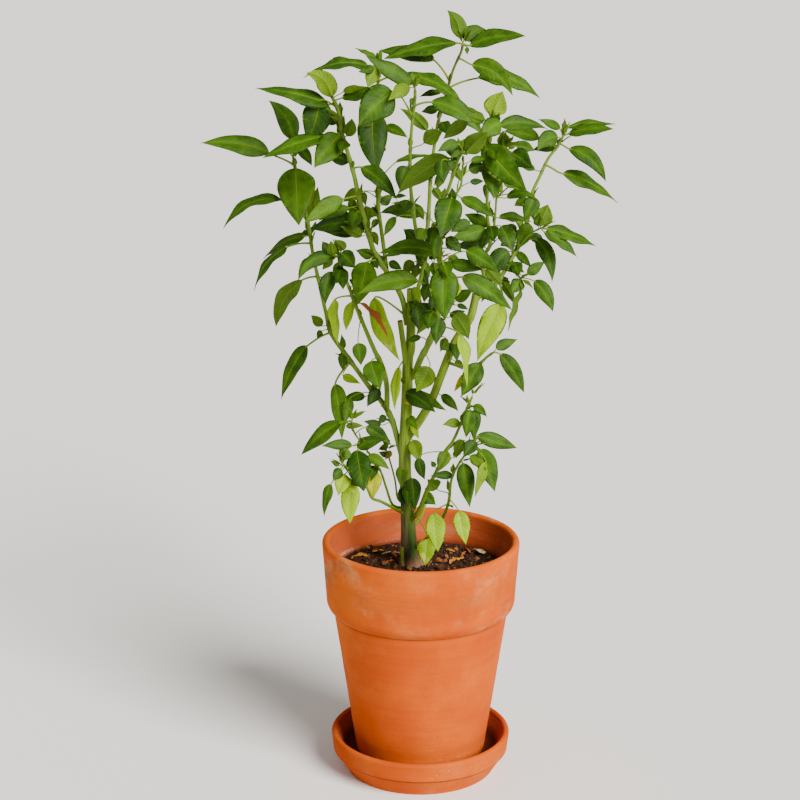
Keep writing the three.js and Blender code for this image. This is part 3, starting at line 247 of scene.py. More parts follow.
LEAFY_STEMS = {
    "stem_far_left": [Stem(
        [(405, 470, 15), (399.5, 447, 17), (392, 420, 20), (382.6, 403, 24), (371, 389, 28),
         (360, 374, 32), (344.5, 353, 38), (331, 333, 44), (325, 309, 50), (318, 278, 57),
         (312, 249, 62), (309, 227, 66), (300, 190, 72), (293, 158, 76)],
        (3.0, 1.5),
        [(269, 153, 200, 143, 18, -10, GREEN, 290, 167), (293, 140, 268, 100, 18, -30, GREEN),
         (298, 148, 312, 166, 10, -25, DARK_SHADED), (291, 147, 278, 152, 8, -20, GREEN),
         (296, 168, 299, 226, 34, -45, BRIGHT_SUNLIT), (281, 200, 223, 229, 10, -20, GREEN, 308, 212),
         (309, 221, 318, 186, 14, 20, GREEN), (305, 236, 263, 259, 9, 15, GREEN),
         (287, 247, 254, 291, 9, -25, GREEN), (310, 258, 298, 280, 9, -20, OLIVE),
         (302, 280, 276, 327, 15, 15, GREEN), (322, 326, 311, 315, 9, -8, GREEN),
         (322, 331, 317, 338, 6, -6, GREEN), (307, 346, 281, 400, 14, -15, GREEN, 327, 334),
         (343, 352, 343, 371, 8, -14, GREEN), (343, 376, 361, 384, 8, -20, LIME, 350, 362),
         (335, 384, 342, 441, 15, -30, BRIGHT_SUNLIT, 350, 362), (349, 355, 346, 369, 6, 10, GREEN),
         (365, 397, 341, 401, 9, 6, GREEN), (350, 398, 344, 424, 11, -14, GREEN, 374, 392),
         (380, 389, 367, 407, 11, -12, DARK_SHADED), (381, 425, 363, 421, 7, -10, DARK_SHADED),
         (386, 416, 379, 424, 7, -8, DARK_SHADED)])],
    "stem_left_front": [Stem(
        [(387, 410, 22), (386.6, 385, 19), (382, 365.6, 15), (375, 351.5, 12), (367, 333, 9),
         (357, 309, 6), (350, 290, 4), (341, 266, 2), (338, 257, 1)],
        (2.8, 1.3),
        [(336, 257, 298, 281, 13, -15, GREEN), (340, 267, 343, 290, 12, -25, DARK_SHADED),
         (334, 272, 326, 304, 14, -18, GREEN), (329, 252, 322, 241, 9, 12, DARK_SHADED),
         (334, 256, 331, 240, 9, -14, BRIGHT_SUNLIT), (341, 253, 355, 268, 16, -14, DARK_SHADED),
         (344, 250, 334, 240, 10, 12, DARK_SHADED), (334, 300, 338, 345, 10, 14, LIME, 352, 296),
         (353, 301, 346, 331, 9, 12, LIME), (358, 343, 361, 366, 13, -10, GREEN, 361, 318),
         (371, 361, 381, 390, 20, -22, BRIGHT_SUNLIT), (361, 303, 388, 337, 5, -14, DRY)])],
    "stem_left_middle": [Stem(
        [(407, 325, 15), (402, 298, 17), (386.6, 271.5, 25), (374, 252, 28), (367, 227, 30),
         (361, 207.6, 30), (354, 175, 31), (346, 147, 33), (341.7, 133, 34), (339, 114, 35),
         (333, 98, 36)],
        (2.9, 1.8),
        [(328, 136, 262, 158, 14, -20, GREEN), (329, 105, 255, 88, 14, -10, GREEN),
         (331, 97, 306, 73, 18, -20, OLIVE), (320, 100, 306, 143, 26, -6, DARK_SHADED, 338, 108),
         (340, 135, 314, 168, 24, -30, BRIGHT_SUNLIT), (349, 162, 324, 153, 12, 20, DARK_SHADED),
         (342, 98, 389, 87, 11, -2, GREEN), (343, 92, 366, 87, 7, -8, OLIVE),
         (347, 136, 352, 118, 12, -10, GREEN), (338, 118, 326, 108, 5, -8, BRIGHT_SUNLIT),
         (339, 121, 330, 116, 4, -10, BRIGHT_SUNLIT), (343, 135, 338, 122, 8, 10, GREEN),
         (361, 167, 398, 201, 15, -30, DARK_SHADED), (343, 199, 304, 223, 16, -25, BRIGHT_SUNLIT),
         (349, 208, 318, 221, 10, -6, GREEN), (364, 232, 320, 216, 21, 22, DARK_SHADED, 369, 236),
         (346, 222, 310, 229, 14, 14, DARK_SHADED), (352, 236, 324, 232, 8, 10, DARK_SHADED),
         (362, 236, 340, 226, 10, -14, DARK_SHADED), (357, 203, 357, 219, 9, 12, DARK_SHADED),
         (367, 262, 356, 307, 23, -62, BRIGHT_SUNLIT, 380, 261), (372, 258, 378, 269, 8, -10, DARK_SHADED),
         (372, 257, 355, 250, 10, -12, GREEN), (389, 262, 402, 269, 8, -8, DARK_SHADED),
         (374, 298, 400, 361, 17, -20, LIME, 405, 316)])],
    "stem_middle_back": [Stem(
        [(387, 271, 25), (381, 228, 40), (378, 208, 46), (379, 189, 50), (378, 154, 56),
         (378, 110, 60), (378, 78, 58), (379, 67, 56)],
        (2.1, 1.3),
        [(368, 66, 303, 78, 11, -20, GREEN), (376, 58, 355, 48, 5, 10, GREEN),
         (374, 68, 358, 72, 8, -16, GREEN), (377, 68, 367, 88, 14, -12, OLIVE),
         (382, 64, 384, 76, 7, -14, GREEN), (403, 75, 464, 106, 12, -25, GREEN, 379, 83),
         (373, 111, 377, 174, 27, -30, DARK_SHADED), (385, 127, 408, 138, 9, -14, GREEN),
         (362, 191, 343, 202, 11, 10, OLIVE), (364, 192, 366, 206, 6, 8, DARK_SHADED, 379, 198),
         (396, 162, 432, 155, 5, 10, GREEN, 379, 180), (377, 209, 368, 219, 9, -12, BRIGHT_SUNLIT),
         (377, 219, 371, 229, 6, -10, GREEN), (396, 197, 407, 196, 4, -10, GREEN),
         (382, 205, 393, 195, 9, 12, GREEN)])],
    "stem_middle": [Stem(
        [(425, 262, 34), (416.7, 232, 26), (414.4, 220, 22), (411, 191, 17), (410, 162, 15),
         (411, 138, 14), (413, 115, 13), (415, 98, 12), (415, 88, 12)],
        (2.0, 1.4),
        [(413, 84, 366, 56, 15, -10, GREEN), (410, 87, 388, 101, 13, -25, OLIVE),
         (393, 92, 358, 127, 31, -25, GREEN, 413, 117),
         (431, 102, 484, 137, 17, -15, GREEN, 414, 107),
         (424, 143, 443, 131, 14, -24, BRIGHT_SUNLIT, 411, 150), (413, 98, 411, 107, 5, -6, GREEN),
         (407, 166, 400, 192, 15, -12, DARK_SHADED), (408, 205, 391, 203, 5, -8, GREEN),
         (396, 217, 384, 236, 8, -10, BRIGHT_SUNLIT), (424, 250, 417, 264, 13, -18, BRIGHT_SUNLIT),
         (425, 229, 416, 243, 12, -20, BRIGHT_SUNLIT), (416, 242, 403, 229, 12, 14, DARK_SHADED),
         (414, 262, 404, 274, 11, 16, DARK_SHADED), (405, 251, 384, 257, 6, -8, DARK_SHADED),
         (418, 266, 412, 280, 8, 10, DARK_SHADED)])],
    "stem_tallest": [Stem(
        [(413, 310, 15), (415, 300, 18), (425, 260, 35), (427.5, 229, 43), (429, 207, 48),
         (430.5, 179, 52), (433.6, 151.5, 56), (436.6, 130, 59), (439, 119, 60), (446, 95, 62),
         (448, 87, 62), (453.5, 69, 62), (461, 52, 60), (463, 43, 60)],
        (2.3, 1.2),
        [(460, 38, 447, 10, 14, 12, GREEN), (464, 40, 486, 29, 14, 20, GREEN),
         (470, 46, 526, 36, 14, -12, GREEN), (457, 43, 383, 59, 14, -10, GREEN),
         (434, 60, 377, 51, 14, 18, GREEN, 449, 80), (472, 65, 513, 97, 17, -20, BRIGHT_SUNLIT),
         (478, 78, 541, 99, 14, 15, GREEN, 449, 89), (441, 92, 419, 97, 6, -14, GREEN),
         (438, 110, 421, 112, 8, 12, GREEN), (427, 130, 399, 108, 11, -15, DARK_SHADED, 435, 138),
         (424, 211, 382, 211, 14, 16, DARK_SHADED, 428, 219), (467, 47, 467, 55, 4, -6, GREEN),
         (421, 268, 429, 289, 7, -10, DARK_SHADED)])],
    "stem_front": [
        Stem(
            [(407, 382, 15), (414, 374, 13), (421, 358, 5), (428, 345, -2), (434, 328, -12),
             (438, 305, -22), (439, 280, -32), (440, 255, -42), (441, 225, -52), (443, 200, -58),
             (448, 190, -60), (453, 175, -63), (457, 162, -65), (463, 150, -66)],
            (3.2, 3.3, 3.3, 3.2, 2.9, 2.5, 2.2, 2.0, 1.9, 1.8, 1.7, 1.5, 1.3, 1.2),
            [(458, 144, 437, 152, 11, -12, GREEN), (458, 153, 444, 149, 10, 12, GREEN),
             (464, 151, 466, 138, 13, 14, GREEN), (461, 152, 450, 158, 7, -6, GREEN),
             (466, 153, 488, 132, 18, -16, BRIGHT_SUNLIT), (449, 158, 397, 195, 20, 30, GREEN),
             (442, 160, 444, 184, 14, -20, DARK_SHADED), (455, 161, 446, 173, 9, -10, DARK_SHADED),
             (444, 172, 434, 186, 6, -10, GREEN), (452, 200, 452, 187, 8, -10, DARK_SHADED),
             (452, 198, 440, 237, 25, -35, DARK_SHADED), (460, 214, 434, 226, 14, -20, DARK_SHADED),
             (444, 268, 445, 321, 26, -30, GREEN, 440, 254), (437, 253, 377, 254, 15, 18, GREEN),
             (418, 281, 356, 295, 18, -15, BRIGHT_SUNLIT, 438, 293), (440, 318, 436, 346, 14, -12, DARK_SHADED),
             (460, 334, 467, 388, 10, -28, LIME, 435, 326), (454, 314, 469, 340, 17, 12, DARK_SHADED),
             (450, 317, 466, 311, 7, 8, GREEN), (431, 316, 418, 303, 13, 4, DARK_SHADED),
             (436, 312, 429, 298, 8, 6, DARK_SHADED), (456, 301, 474, 289, 11, 5, BRIGHT_SUNLIT),
             (457, 305, 469, 310, 5, -5, DARK_SHADED), (459, 284, 456, 297, 6, -6, LIME),
             (450, 264, 482, 270, 12, -10, DARK_SHADED), (449, 256, 460, 266, 9, 10, DARK_SHADED),
             (466, 251, 499, 274, 16, -20, GREEN, 440, 264),
             (462, 277, 513, 311, 18, -8, GREEN, 439, 284),
             (430, 367, 416, 392, 20, -12, PALE, 424, 352),
             (421, 337, 407, 342, 6, -4, GREEN, 429, 342), (448, 238, 455, 251, 10, -6, GREEN),
             (470, 222, 450, 232, 11, -12, DARK_SHADED), (460, 249, 446, 242, 9, -14, DARK_SHADED),
             (437, 290, 431, 311, 10, -6, DARK_SHADED), (429, 284, 424, 303, 10, -4, DARK_SHADED)]),
        Stem(
            [(443, 200, -58), (455, 195, -53), (461, 185, -52), (462, 172, -54), (464, 157, -58)],
            (1.1, 0.8),
            [(469, 170, 487, 168, 12, 28, DARK_SHADED, 462, 178),
             (471, 161, 487, 159, 7, 20, GREEN, 463, 165),
             (470, 182, 484, 181, 6, 8, DARK_SHADED, 461, 188),
             (461, 198, 495, 218, 11, -15, GREEN, 456, 194)]),
    ],
    "stem_right_front": [
        Stem(
            [(487, 292, 8), (482.6, 268, 0), (484, 256, -6), (490, 244, -12), (488, 222, -22),
             (487, 204, -28), (488.7, 160, -38), (490, 140, -40), (493, 124, -42)],
            (2.0, 1.2),
            [(493, 116, 503, 91, 21, 15, OLIVE), (500, 126, 548, 129, 13, 12, GREEN),
             (484, 121, 466, 115, 10, -12, GREEN), (495, 122, 500, 114, 7, -8, GREEN),
             (501, 123, 480, 138, 18, -25, BRIGHT_SUNLIT), (485, 120, 463, 105, 5, 10, GREEN),
             (467, 122, 443, 139, 12, 22, DARK_SHADED), (484, 145, 527, 190, 27, -35, GREEN),
             (491, 156, 494, 200, 20, -22, GREEN), (488, 182, 486, 200, 7, 12, DARK_SHADED),
             (486, 230, 451, 239, 15, -20, BRIGHT_SUNLIT), (487, 227, 464, 214, 12, 8, GREEN),
             (484, 247, 453, 247, 11, -12, DARK_SHADED), (487, 231, 481, 251, 11, -8, DARK_SHADED)]),
        Stem(
            [(490, 244, -12), (493, 236, -14), (495.6, 211, -18), (497, 195, -20), (503, 165, -22),
             (506, 147, -24)],
            (1.2, 0.8),
            [(505, 145, 503, 130, 12, 8, BRIGHT_SUNLIT), (509, 149, 520, 140, 5, 6, BRIGHT_SUNLIT),
             (512, 152, 534, 169, 17, -15, DARK_SHADED), (516, 146, 535, 151, 10, 10, GREEN),
             (503, 181, 519, 190, 8, -10, PALE), (535, 197, 524, 222, 15, -18, GREEN, 497, 196),
             (507, 198, 537, 200, 9, -14, GREEN), (499, 218, 532, 222, 8, 15, GREEN),
             (501, 226, 513, 252, 16, -12, GREEN)]),
    ],
    "stem_far_right": [
        Stem(
            [(473, 307, 5), (479, 297, 6), (487, 292, 8), (499, 280, 12), (510, 261, 16),
             (518, 247, 20), (524, 230, 23), (529, 215, 25), (532, 194, 28), (540, 176, 32),
             (548, 159, 35), (557, 147, 37), (563, 136, 38)],
            (2.4, 1.3),
            [(560, 129, 538, 119, 8, -12, GREEN), (568, 134, 614, 129, 10, -12, GREEN),
             (567, 128, 616, 124, 8, 14, GREEN), (539, 139, 503, 131, 12, 12, GREEN, 556, 148),
             (558, 137, 537, 152, 16, -22, GREEN), (557, 147, 532, 150, 9, 8, GREEN),
             (569, 149, 606, 182, 14, -20, GREEN), (563, 174, 618, 203, 13, 15, GREEN),
             (535, 170, 513, 160, 7, 14, GREEN, 542, 172), (531, 198, 534, 222, 11, -14, DARK_SHADED),
             (516, 232, 504, 226, 9, 12, DARK_SHADED), (536, 239, 552, 283, 14, -22, GREEN, 518, 248),
             (516, 252, 532, 268, 8, -8, GREEN), (530, 224, 517, 250, 14, -14, BRIGHT_SUNLIT),
             (502, 304, 477, 362, 23, -15, LIME, 499, 280), (509, 251, 490, 277, 19, -14, DARK_SHADED)]),
        Stem(
            [(518, 247, 20), (530, 234, 10), (541, 228, 4)],
            (1.1, 0.8),
            [(540, 225, 548, 204, 18, 10, BRIGHT_SUNLIT), (538, 226, 540, 212, 8, -6, GREEN),
             (546, 229, 596, 246, 12, 6, GREEN), (544, 232, 577, 257, 10, -12, GREEN)]),
        Stem(
            [(505, 270, 14), (513, 272, 8), (521, 278, 4)],
            (1.1, 0.8),
            [(528, 275, 545, 262, 10, 8, GREEN), (534, 281, 553, 312, 14, -14, GREEN),
             (507, 265, 525, 273, 9, -10, GREEN), (522, 280, 511, 294, 13, -10, GREEN),
             (521, 290, 508, 331, 6, 6, GREEN)]),
    ],
    "shoot_left_low": [Stem(
        [(405, 514, 15), (382, 502, -3), (372, 498, -9), (366, 487, -14), (349, 472, -22),
         (343, 463, -26)],
        (1.8, 1.0),
        [(339, 466, 330, 461, 5, -6, GREEN), (342, 470, 333, 480, 10, -12, DARK_SHADED),
         (345, 474, 338, 496, 15, -18, LIME), (353, 482, 350, 524, 17, -14, LIME),
         (350, 480, 359, 487, 6, -6, DARK_SHADED), (331, 484, 324, 517, 9, -10, GREEN, 343, 466)])],
    "shoot_left_middle": [Stem(
        [(406, 508, 15), (393, 505, 14), (386, 487, 9), (380, 470, 0), (366, 449, -12),
         (354, 432, -18), (352, 421, -20)],
        (1.5, 0.8),
        [(352, 446, 321, 446, 10, -10, GREEN, 362, 445),
         (357, 448, 387, 439, 12, -10, DARK_SHADED, 362, 444), (366, 427, 392, 446, 12, 12, DARK_SHADED),
         (341, 423, 301, 455, 14, 12, GREEN), (346, 427, 364, 426, 6, 4, GREEN),
         (368, 456, 390, 470, 10, -8, BRIGHT_SUNLIT), (376, 471, 373, 500, 14, -6, YELLOW),
         (376, 466, 368, 478, 9, -20, DARK_SHADED), (357, 450, 364, 492, 22, -42, DARK_SHADED, 364, 448),
         (348, 449, 342, 462, 12, -16, GREEN, 360, 444), (353, 418, 366, 411, 4, -4, PALE)])],
    "shoot_left_small": [Stem(
        [(406, 503, 16), (398, 499, 24), (395, 480, 32), (390, 461, 38), (386, 449, 40)],
        (1.2, 0.8),
        [(387, 456, 378, 452, 6, -6, RUSTY), (391, 451, 385, 460, 6, -8, RUSTY),
         (385, 445, 389, 439, 4, 4, RUSTY), (388, 447, 378, 450, 6, -4, RUSTY)])],
    "shoot_right_low": [Stem(
        [(411, 553, 15), (430, 535, 2), (442, 519, -12), (448.5, 502.5, -24), (451.5, 479.5, -36),
         (457.7, 465.7, -42), (465, 455, -46), (472, 446, -48)],
        (1.8, 0.9),
        [(463, 463, 470, 508, 16, -14, GREEN), (480, 449, 495, 492, 18, -10, GREEN),
         (470, 456, 487, 470, 10, -14, OLIVE), (486, 462, 475, 497, 9, -18, OLIVE, 477, 449),
         (434, 513, 438, 552, 18, -16, LIME, 448, 504),
         (459, 511, 466, 545, 15, -12, LIME, 449, 499), (453, 476, 430, 476, 8, -10, DARK_SHADED),
         (437, 489, 427, 479, 13, -6, DARK_SHADED, 450, 494), (476, 441, 463, 458, 12, -12, DARK_SHADED),
         (463, 440, 456, 459, 11, 10, DARK_SHADED), (477, 436, 517, 448, 14, 6, GREEN)])],
    "shoot_right_back": [Stem(
        [(409, 532, 15), (421, 516, 28), (425.5, 502.5, 36), (431, 485, 43), (437.8, 468.8, 50),
         (452, 458, 56)],
        (1.8, 0.9),
        [(423, 495, 436, 505, 11, -8, GREEN), (435, 467, 431, 461, 5, 4, GREEN),
         (455, 456, 461, 449, 5, 4, GREEN)])],
    "shoot_right_pale": [Stem(
        [(407, 524, 15), (418, 512, 8), (427, 490, 4), (434.7, 475, 0), (440.8, 462.7, -3),
         (447, 449, -6), (453, 441, -8), (460.7, 424, -10), (466.8, 409, -12), (473, 395, -13)],
        (2.2, 1.2),
        [(460, 424, 442, 425, 9, -10, OLIVE), (471, 410, 466, 438, 13, -14, GREEN),
         (476, 409, 474, 442, 11, -10, GREEN), (473, 406, 487, 417, 8, -5, GREEN),
         (447, 451, 438, 472, 12, -14, OLIVE), (419, 458, 425, 480, 10, -8, DARK_SHADED, 445, 452),
         (428, 539, 425, 566, 17, -30, LIME, 416, 514)])],
}


# ---- settings ----


def srgb(red, green, blue):
    """Linear colour of an sRGB colour given from 0 to 255."""
    share = np.array([red, green, blue]) / 255.0
    linear = np.where(share <= 0.04045, share / 12.92, ((share + 0.055) / 1.055) ** 2.4)
    return tuple(float(value) for value in linear)


def colour_property(name, description, red, green, blue):
    return bpy.props.FloatVectorProperty(
        name=name, description=description, subtype="COLOR", size=3, min=0.0, max=1.0,
        default=srgb(red, green, blue))


def length_property(name, description, default):
    return bpy.props.FloatProperty(
        name=name, description=description, default=default, min=0.0, unit="LENGTH", precision=4)


def share_property(name, description, default):
    return bpy.props.FloatProperty(
        name=name, description=description, default=default, min=0.0, max=1.0, subtype="FACTOR")


class ChilliPotSettings(bpy.types.PropertyGroup):
    """Sizes and colours of the pot and the saucer."""

    rim_radius: length_property("Rim radius", "Outer radius of the pot's rim", POT_RIM_RADIUS)
    unevenness: length_property("Unevenness", "How far the thrown wall wanders", 0.00035)
    clay: colour_property("Clay", "Fired clay", 176, 67, 0)
    clay_light: colour_property("Light clay", "Worn and sunlit clay", 198, 90, 6)
    bloom: colour_property("Bloom", "Lime and salt on the clay", 206, 150, 96)
    inner: colour_property("Damp clay", "Clay on the inside, stained by the soil", 178, 78, 36)
    bloom_amount: share_property("Bloom amount", "How much of the wall carries bloom", 0.55)


class ChilliSoilSettings(bpy.types.PropertyGroup):
    """Sizes and colours of the soil."""

    drop: length_property("Drop", "From the rim's top to the soil", SOIL_DROP)
    roughness: length_property("Roughness", "Height of the soil's lumps", 0.0022)
    crumbs: bpy.props.IntProperty(
        name="Crumbs", description="Loose crumbs on the soil", default=2000, min=0, max=4000)
    crumb_size: length_property("Crumb size", "Radius of a middling crumb", 0.0014)
    dark: colour_property("Dark soil", "Damp peat", 25, 15, 9)
    light: colour_property("Light soil", "Dry crumbs and fibres", 76, 46, 25)


class ChilliPlantSettings(bpy.types.PropertyGroup):
    """Sizes and colours of the trunk, the stems and the leaves."""

    blade_thickness: length_property("Blade thickness", "Thickness of a leaf", 0.0005)
    fold: share_property("Fold", "Rise of a blade's halves from its midrib", 0.36)
    curl: share_property("Curl", "How far a blade's halves bend back down", 0.3)
    wave: share_property("Wave", "Waving of a blade's edge, to its half width", 0.15)
    pucker: share_property("Pucker", "Rippling with the side veins", 0.04)
    petiole_radius: length_property("Stalk radius", "Radius of a leaf stalk", 0.00095)
    leaf_shaded: colour_property("Dark leaf", "Shaded green of the upper face", 28, 56, 5)
    leaf_sunlit: colour_property("Light leaf", "Sunlit green of the upper face", 76, 114, 8)
    leaf_under: colour_property("Leaf underside", "Matt green of the lower face", 64, 88, 18)
    leaf_vein: colour_property("Vein", "Midrib and side veins", 108, 136, 36)
    leaf_yellow: colour_property("Yellow leaf", "Leaf that is turning", 182, 162, 8)
    leaf_lime: colour_property("Pale leaf", "Leaf short of green", 134, 166, 0)
    leaf_dry: colour_property("Dry leaf", "Dead leaf", 156, 86, 34)
    stem_green: colour_property("Stem", "Green stem", 76, 104, 10)
    stem_pale: colour_property("Stalk", "Pale leaf stalk", 108, 128, 22)
    stem_purple: colour_property("Joint", "Purple-brown of joints and young wood", 56, 44, 26)
    bark: colour_property("Bark", "Ridged bark at the trunk's foot", 98, 80, 56)
    bark_green: colour_property("Green bark", "Bark that is still green", 84, 108, 18)
    cut: colour_property("Cut", "Weathered cut wood", 112, 66, 44)


class ChilliStageSettings(bpy.types.PropertyGroup):
    """Floor, lights and camera."""

    floor: colour_property("Floor", "Plain floor", 240, 239, 236)
    key_strength: bpy.props.FloatProperty(
        name="Key light", description="Strength of the broad window light", default=8.2, min=0.0)
    key_breadth: bpy.props.FloatProperty(
        name="Key breadth", description="How broad the window light looks", subtype="ANGLE",
        default=math.radians(32), min=0.0, max=math.pi)
    fill_power: bpy.props.FloatProperty(
        name="Fill light", description="Power of the light opposite", default=5.5, min=0.0,
        unit="POWER")
    sky: bpy.props.FloatProperty(
        name="Sky", description="Strength of the even light from all round", default=0.4, min=0.0)
    lens: bpy.props.FloatProperty(
        name="Lens", description="Focal length of the camera, in mm", default=97.5, min=1.0)


# ---- shader maths ----


class Value:
    """One output of a node. Arithmetic on it adds Math nodes."""

    def __init__(self, paint, socket):
        self.paint = paint
        self.socket = socket

    def math(self, operation, *others, first=None):
        terms = [self, *others] if first is None else [first, self]
        return self.paint.node(
            "ShaderNodeMath", {"operation": operation}, dict(enumerate(terms)))

    def __add__(self, other):
        return self.math("ADD", other)

    def __radd__(self, other):
        return self.math("ADD", other)

    def __mul__(self, other):
        return self.math("MULTIPLY", other)

    def __rmul__(self, other):
        return self.math("MULTIPLY", other)

    def __sub__(self, other):
        return self.math("SUBTRACT", other)

    def __rsub__(self, other):
        return self.math("SUBTRACT", first=other)

    def __pow__(self, other):
        return self.math("POWER", other)

    def __abs__(self):
        return self.math("ABSOLUTE")

    def fraction(self):
        return self.math("FRACT")

    def between(self, low, high):
        """0 at low, 1 at high and beyond, and smooth between them."""
        return self.paint.node(
            "ShaderNodeMapRange", {"interpolation_type": "SMOOTHSTEP"},
            {"Value": self, "From Min": low, "From Max": high})

    def near(self, centre, width):
        """1 where the value is centre, falling smoothly to 0 at width from it."""
        return 1 - abs(self - centre).between(0.0, width)


class Paint:
    """A material with one Principled shader, and the nodes that feed it."""

    def __init__(self, name, **constants):
        self.material = bpy.data.materials.new(name)
        self.material.use_nodes = True
        self.tree = self.material.node_tree
        self.shader = self.tree.nodes["Principled BSDF"]
        for socket, value in constants.items():
            self.shader.inputs[socket.replace("_", " ")].default_value = value

    def node(self, kind, settings=None, sockets=None, output=0):
        """A node of a kind: its settings first, then its sockets' values or links."""
        made = self.tree.nodes.new(kind)
        for name, value in (settings or {}).items():
            setattr(made, name, value)
        for key, value in (sockets or {}).items():
            self.plug(made.inputs[key], value)
        return Value(self, made.outputs[output])

    def plug(self, socket, value):
        if isinstance(value, Value):
            self.tree.links.new(value.socket, socket)
        elif socket.type == "RGBA":
            socket.default_value = (*value, 1.0)
        else:
            socket.default_value = value

    def place(self):
        """Object coordinates, in metres."""
        return self.node("ShaderNodeTexCoord", output="Object")

    def carried(self, name):
        """The three numbers that a mesh carries under a name."""
        return self.parts(
            self.node("ShaderNodeAttribute", {"attribute_name": name}, output="Vector"))

    def parts(self, vector):
        """The three numbers of a vector."""
        split = self.node("ShaderNodeSeparateXYZ", sockets={0: vector}).socket.node
        return [Value(self, output) for output in split.outputs]

    def vector(self, x, y, z):
        return self.node("ShaderNodeCombineXYZ", sockets={0: x, 1: y, 2: z})

    def stretched(self, vector, scale):
        return self.node(
            "ShaderNodeVectorMath", {"operation": "MULTIPLY"}, {0: vector, 1: scale})

    def shifted(self, vector, amount):
        return self.node("ShaderNodeVectorMath", {"operation": "ADD"}, {0: vector, 1: amount})

    def noise(self, vector, scale, detail=2.0, roughness=0.5):
        return self.node(
            "ShaderNodeTexNoise", None,
            {"Vector": vector, "Scale": scale, "Detail": detail, "Roughness": roughness})

    def streaks(self, vector, scales, detail, roughness):
        """Noise with a scale of its own along each axis."""
        return self.noise(self.stretched(vector, scales), 1.0, detail, roughness)

    def cells(self, vector, scale):
        """Distance to the nearest of the points scattered in space."""
        return self.node("ShaderNodeTexVoronoi", None, {"Vector": vector, "Scale": scale})

    def mix(self, share, first, second):
        """From the first colour to the second by a share."""
        return self.node(
            "ShaderNodeMix", {"data_type": "RGBA"}, {0: share, 6: first, 7: second}, output=2)

    def shade(self, colour, amount):
        """A colour times a number."""
        return self.node(
            "ShaderNodeVectorMath", {"operation": "SCALE"}, {0: colour, "Scale": amount})

    def finish(self, colour, roughness, relief, height):
        """Sets what varies over the surface: its colour, roughness and relief, in metres."""
        self.plug(self.shader.inputs["Base Color"], colour)
        self.plug(self.shader.inputs["Roughness"], roughness)
        bump = self.node("ShaderNodeBump", None, {"Height": relief, "Distance": height})
        self.plug(self.shader.inputs["Normal"], bump)
        return self.material


# ---- colours that no setting changes ----

LOW_CLAY = srgb(150, 50, 0)
CLAY_STAIN = srgb(140, 78, 40)
CLAY_SMEAR = srgb(140, 80, 34)
CLAY_SPECK = srgb(226, 196, 166)
CLAY_PIT = srgb(96, 44, 26)
CREASE_SHADE = srgb(92, 34, 10)
DAMP_LIGHT = srgb(176, 82, 42)
DAMP_BLOOM = srgb(190, 122, 92)
DAMP_DARK = srgb(130, 50, 22)
MUD = srgb(62, 28, 14)
SALT = srgb(208, 168, 152)

BARK_CRUMB = srgb(140, 92, 56)
SOIL_FIBRE = srgb(120, 84, 56)
RUST = srgb(150, 70, 28)
STRAW = srgb(176, 118, 36)
BLEACHED_STRAW = srgb(186, 172, 132)
LITTER_FLECK = srgb(78, 44, 22)

TURNING_MIDRIB = srgb(176, 180, 84)
BLEACHED_LEAF = srgb(214, 200, 110)
SCORCHED_LEAF = srgb(78, 46, 26)
LEAF_RIM = srgb(104, 78, 22)
LEAF_TIP = srgb(104, 84, 30)

STEM_LIGHT = srgb(98, 128, 26)
STEM_FLECK = srgb(44, 66, 14)
GREEN_BARK_LIGHT = srgb(120, 148, 26)
GREEN_BARK_BLOTCH = srgb(72, 62, 30)
BARK_SHADE = srgb(60, 56, 30)
BARK_CREST = srgb(128, 110, 84)
BARK_STRIP = srgb(60, 92, 22)
BARK_GROOVE_SHADE = srgb(28, 28, 14)
ROOT_FLARE = srgb(132, 92, 68)
BARK_SCAR = srgb(138, 112, 76)
CUT_RING = srgb(70, 36, 28)

FLOOR_MOTTLE = srgb(232, 229, 224)


# ---- materials ----


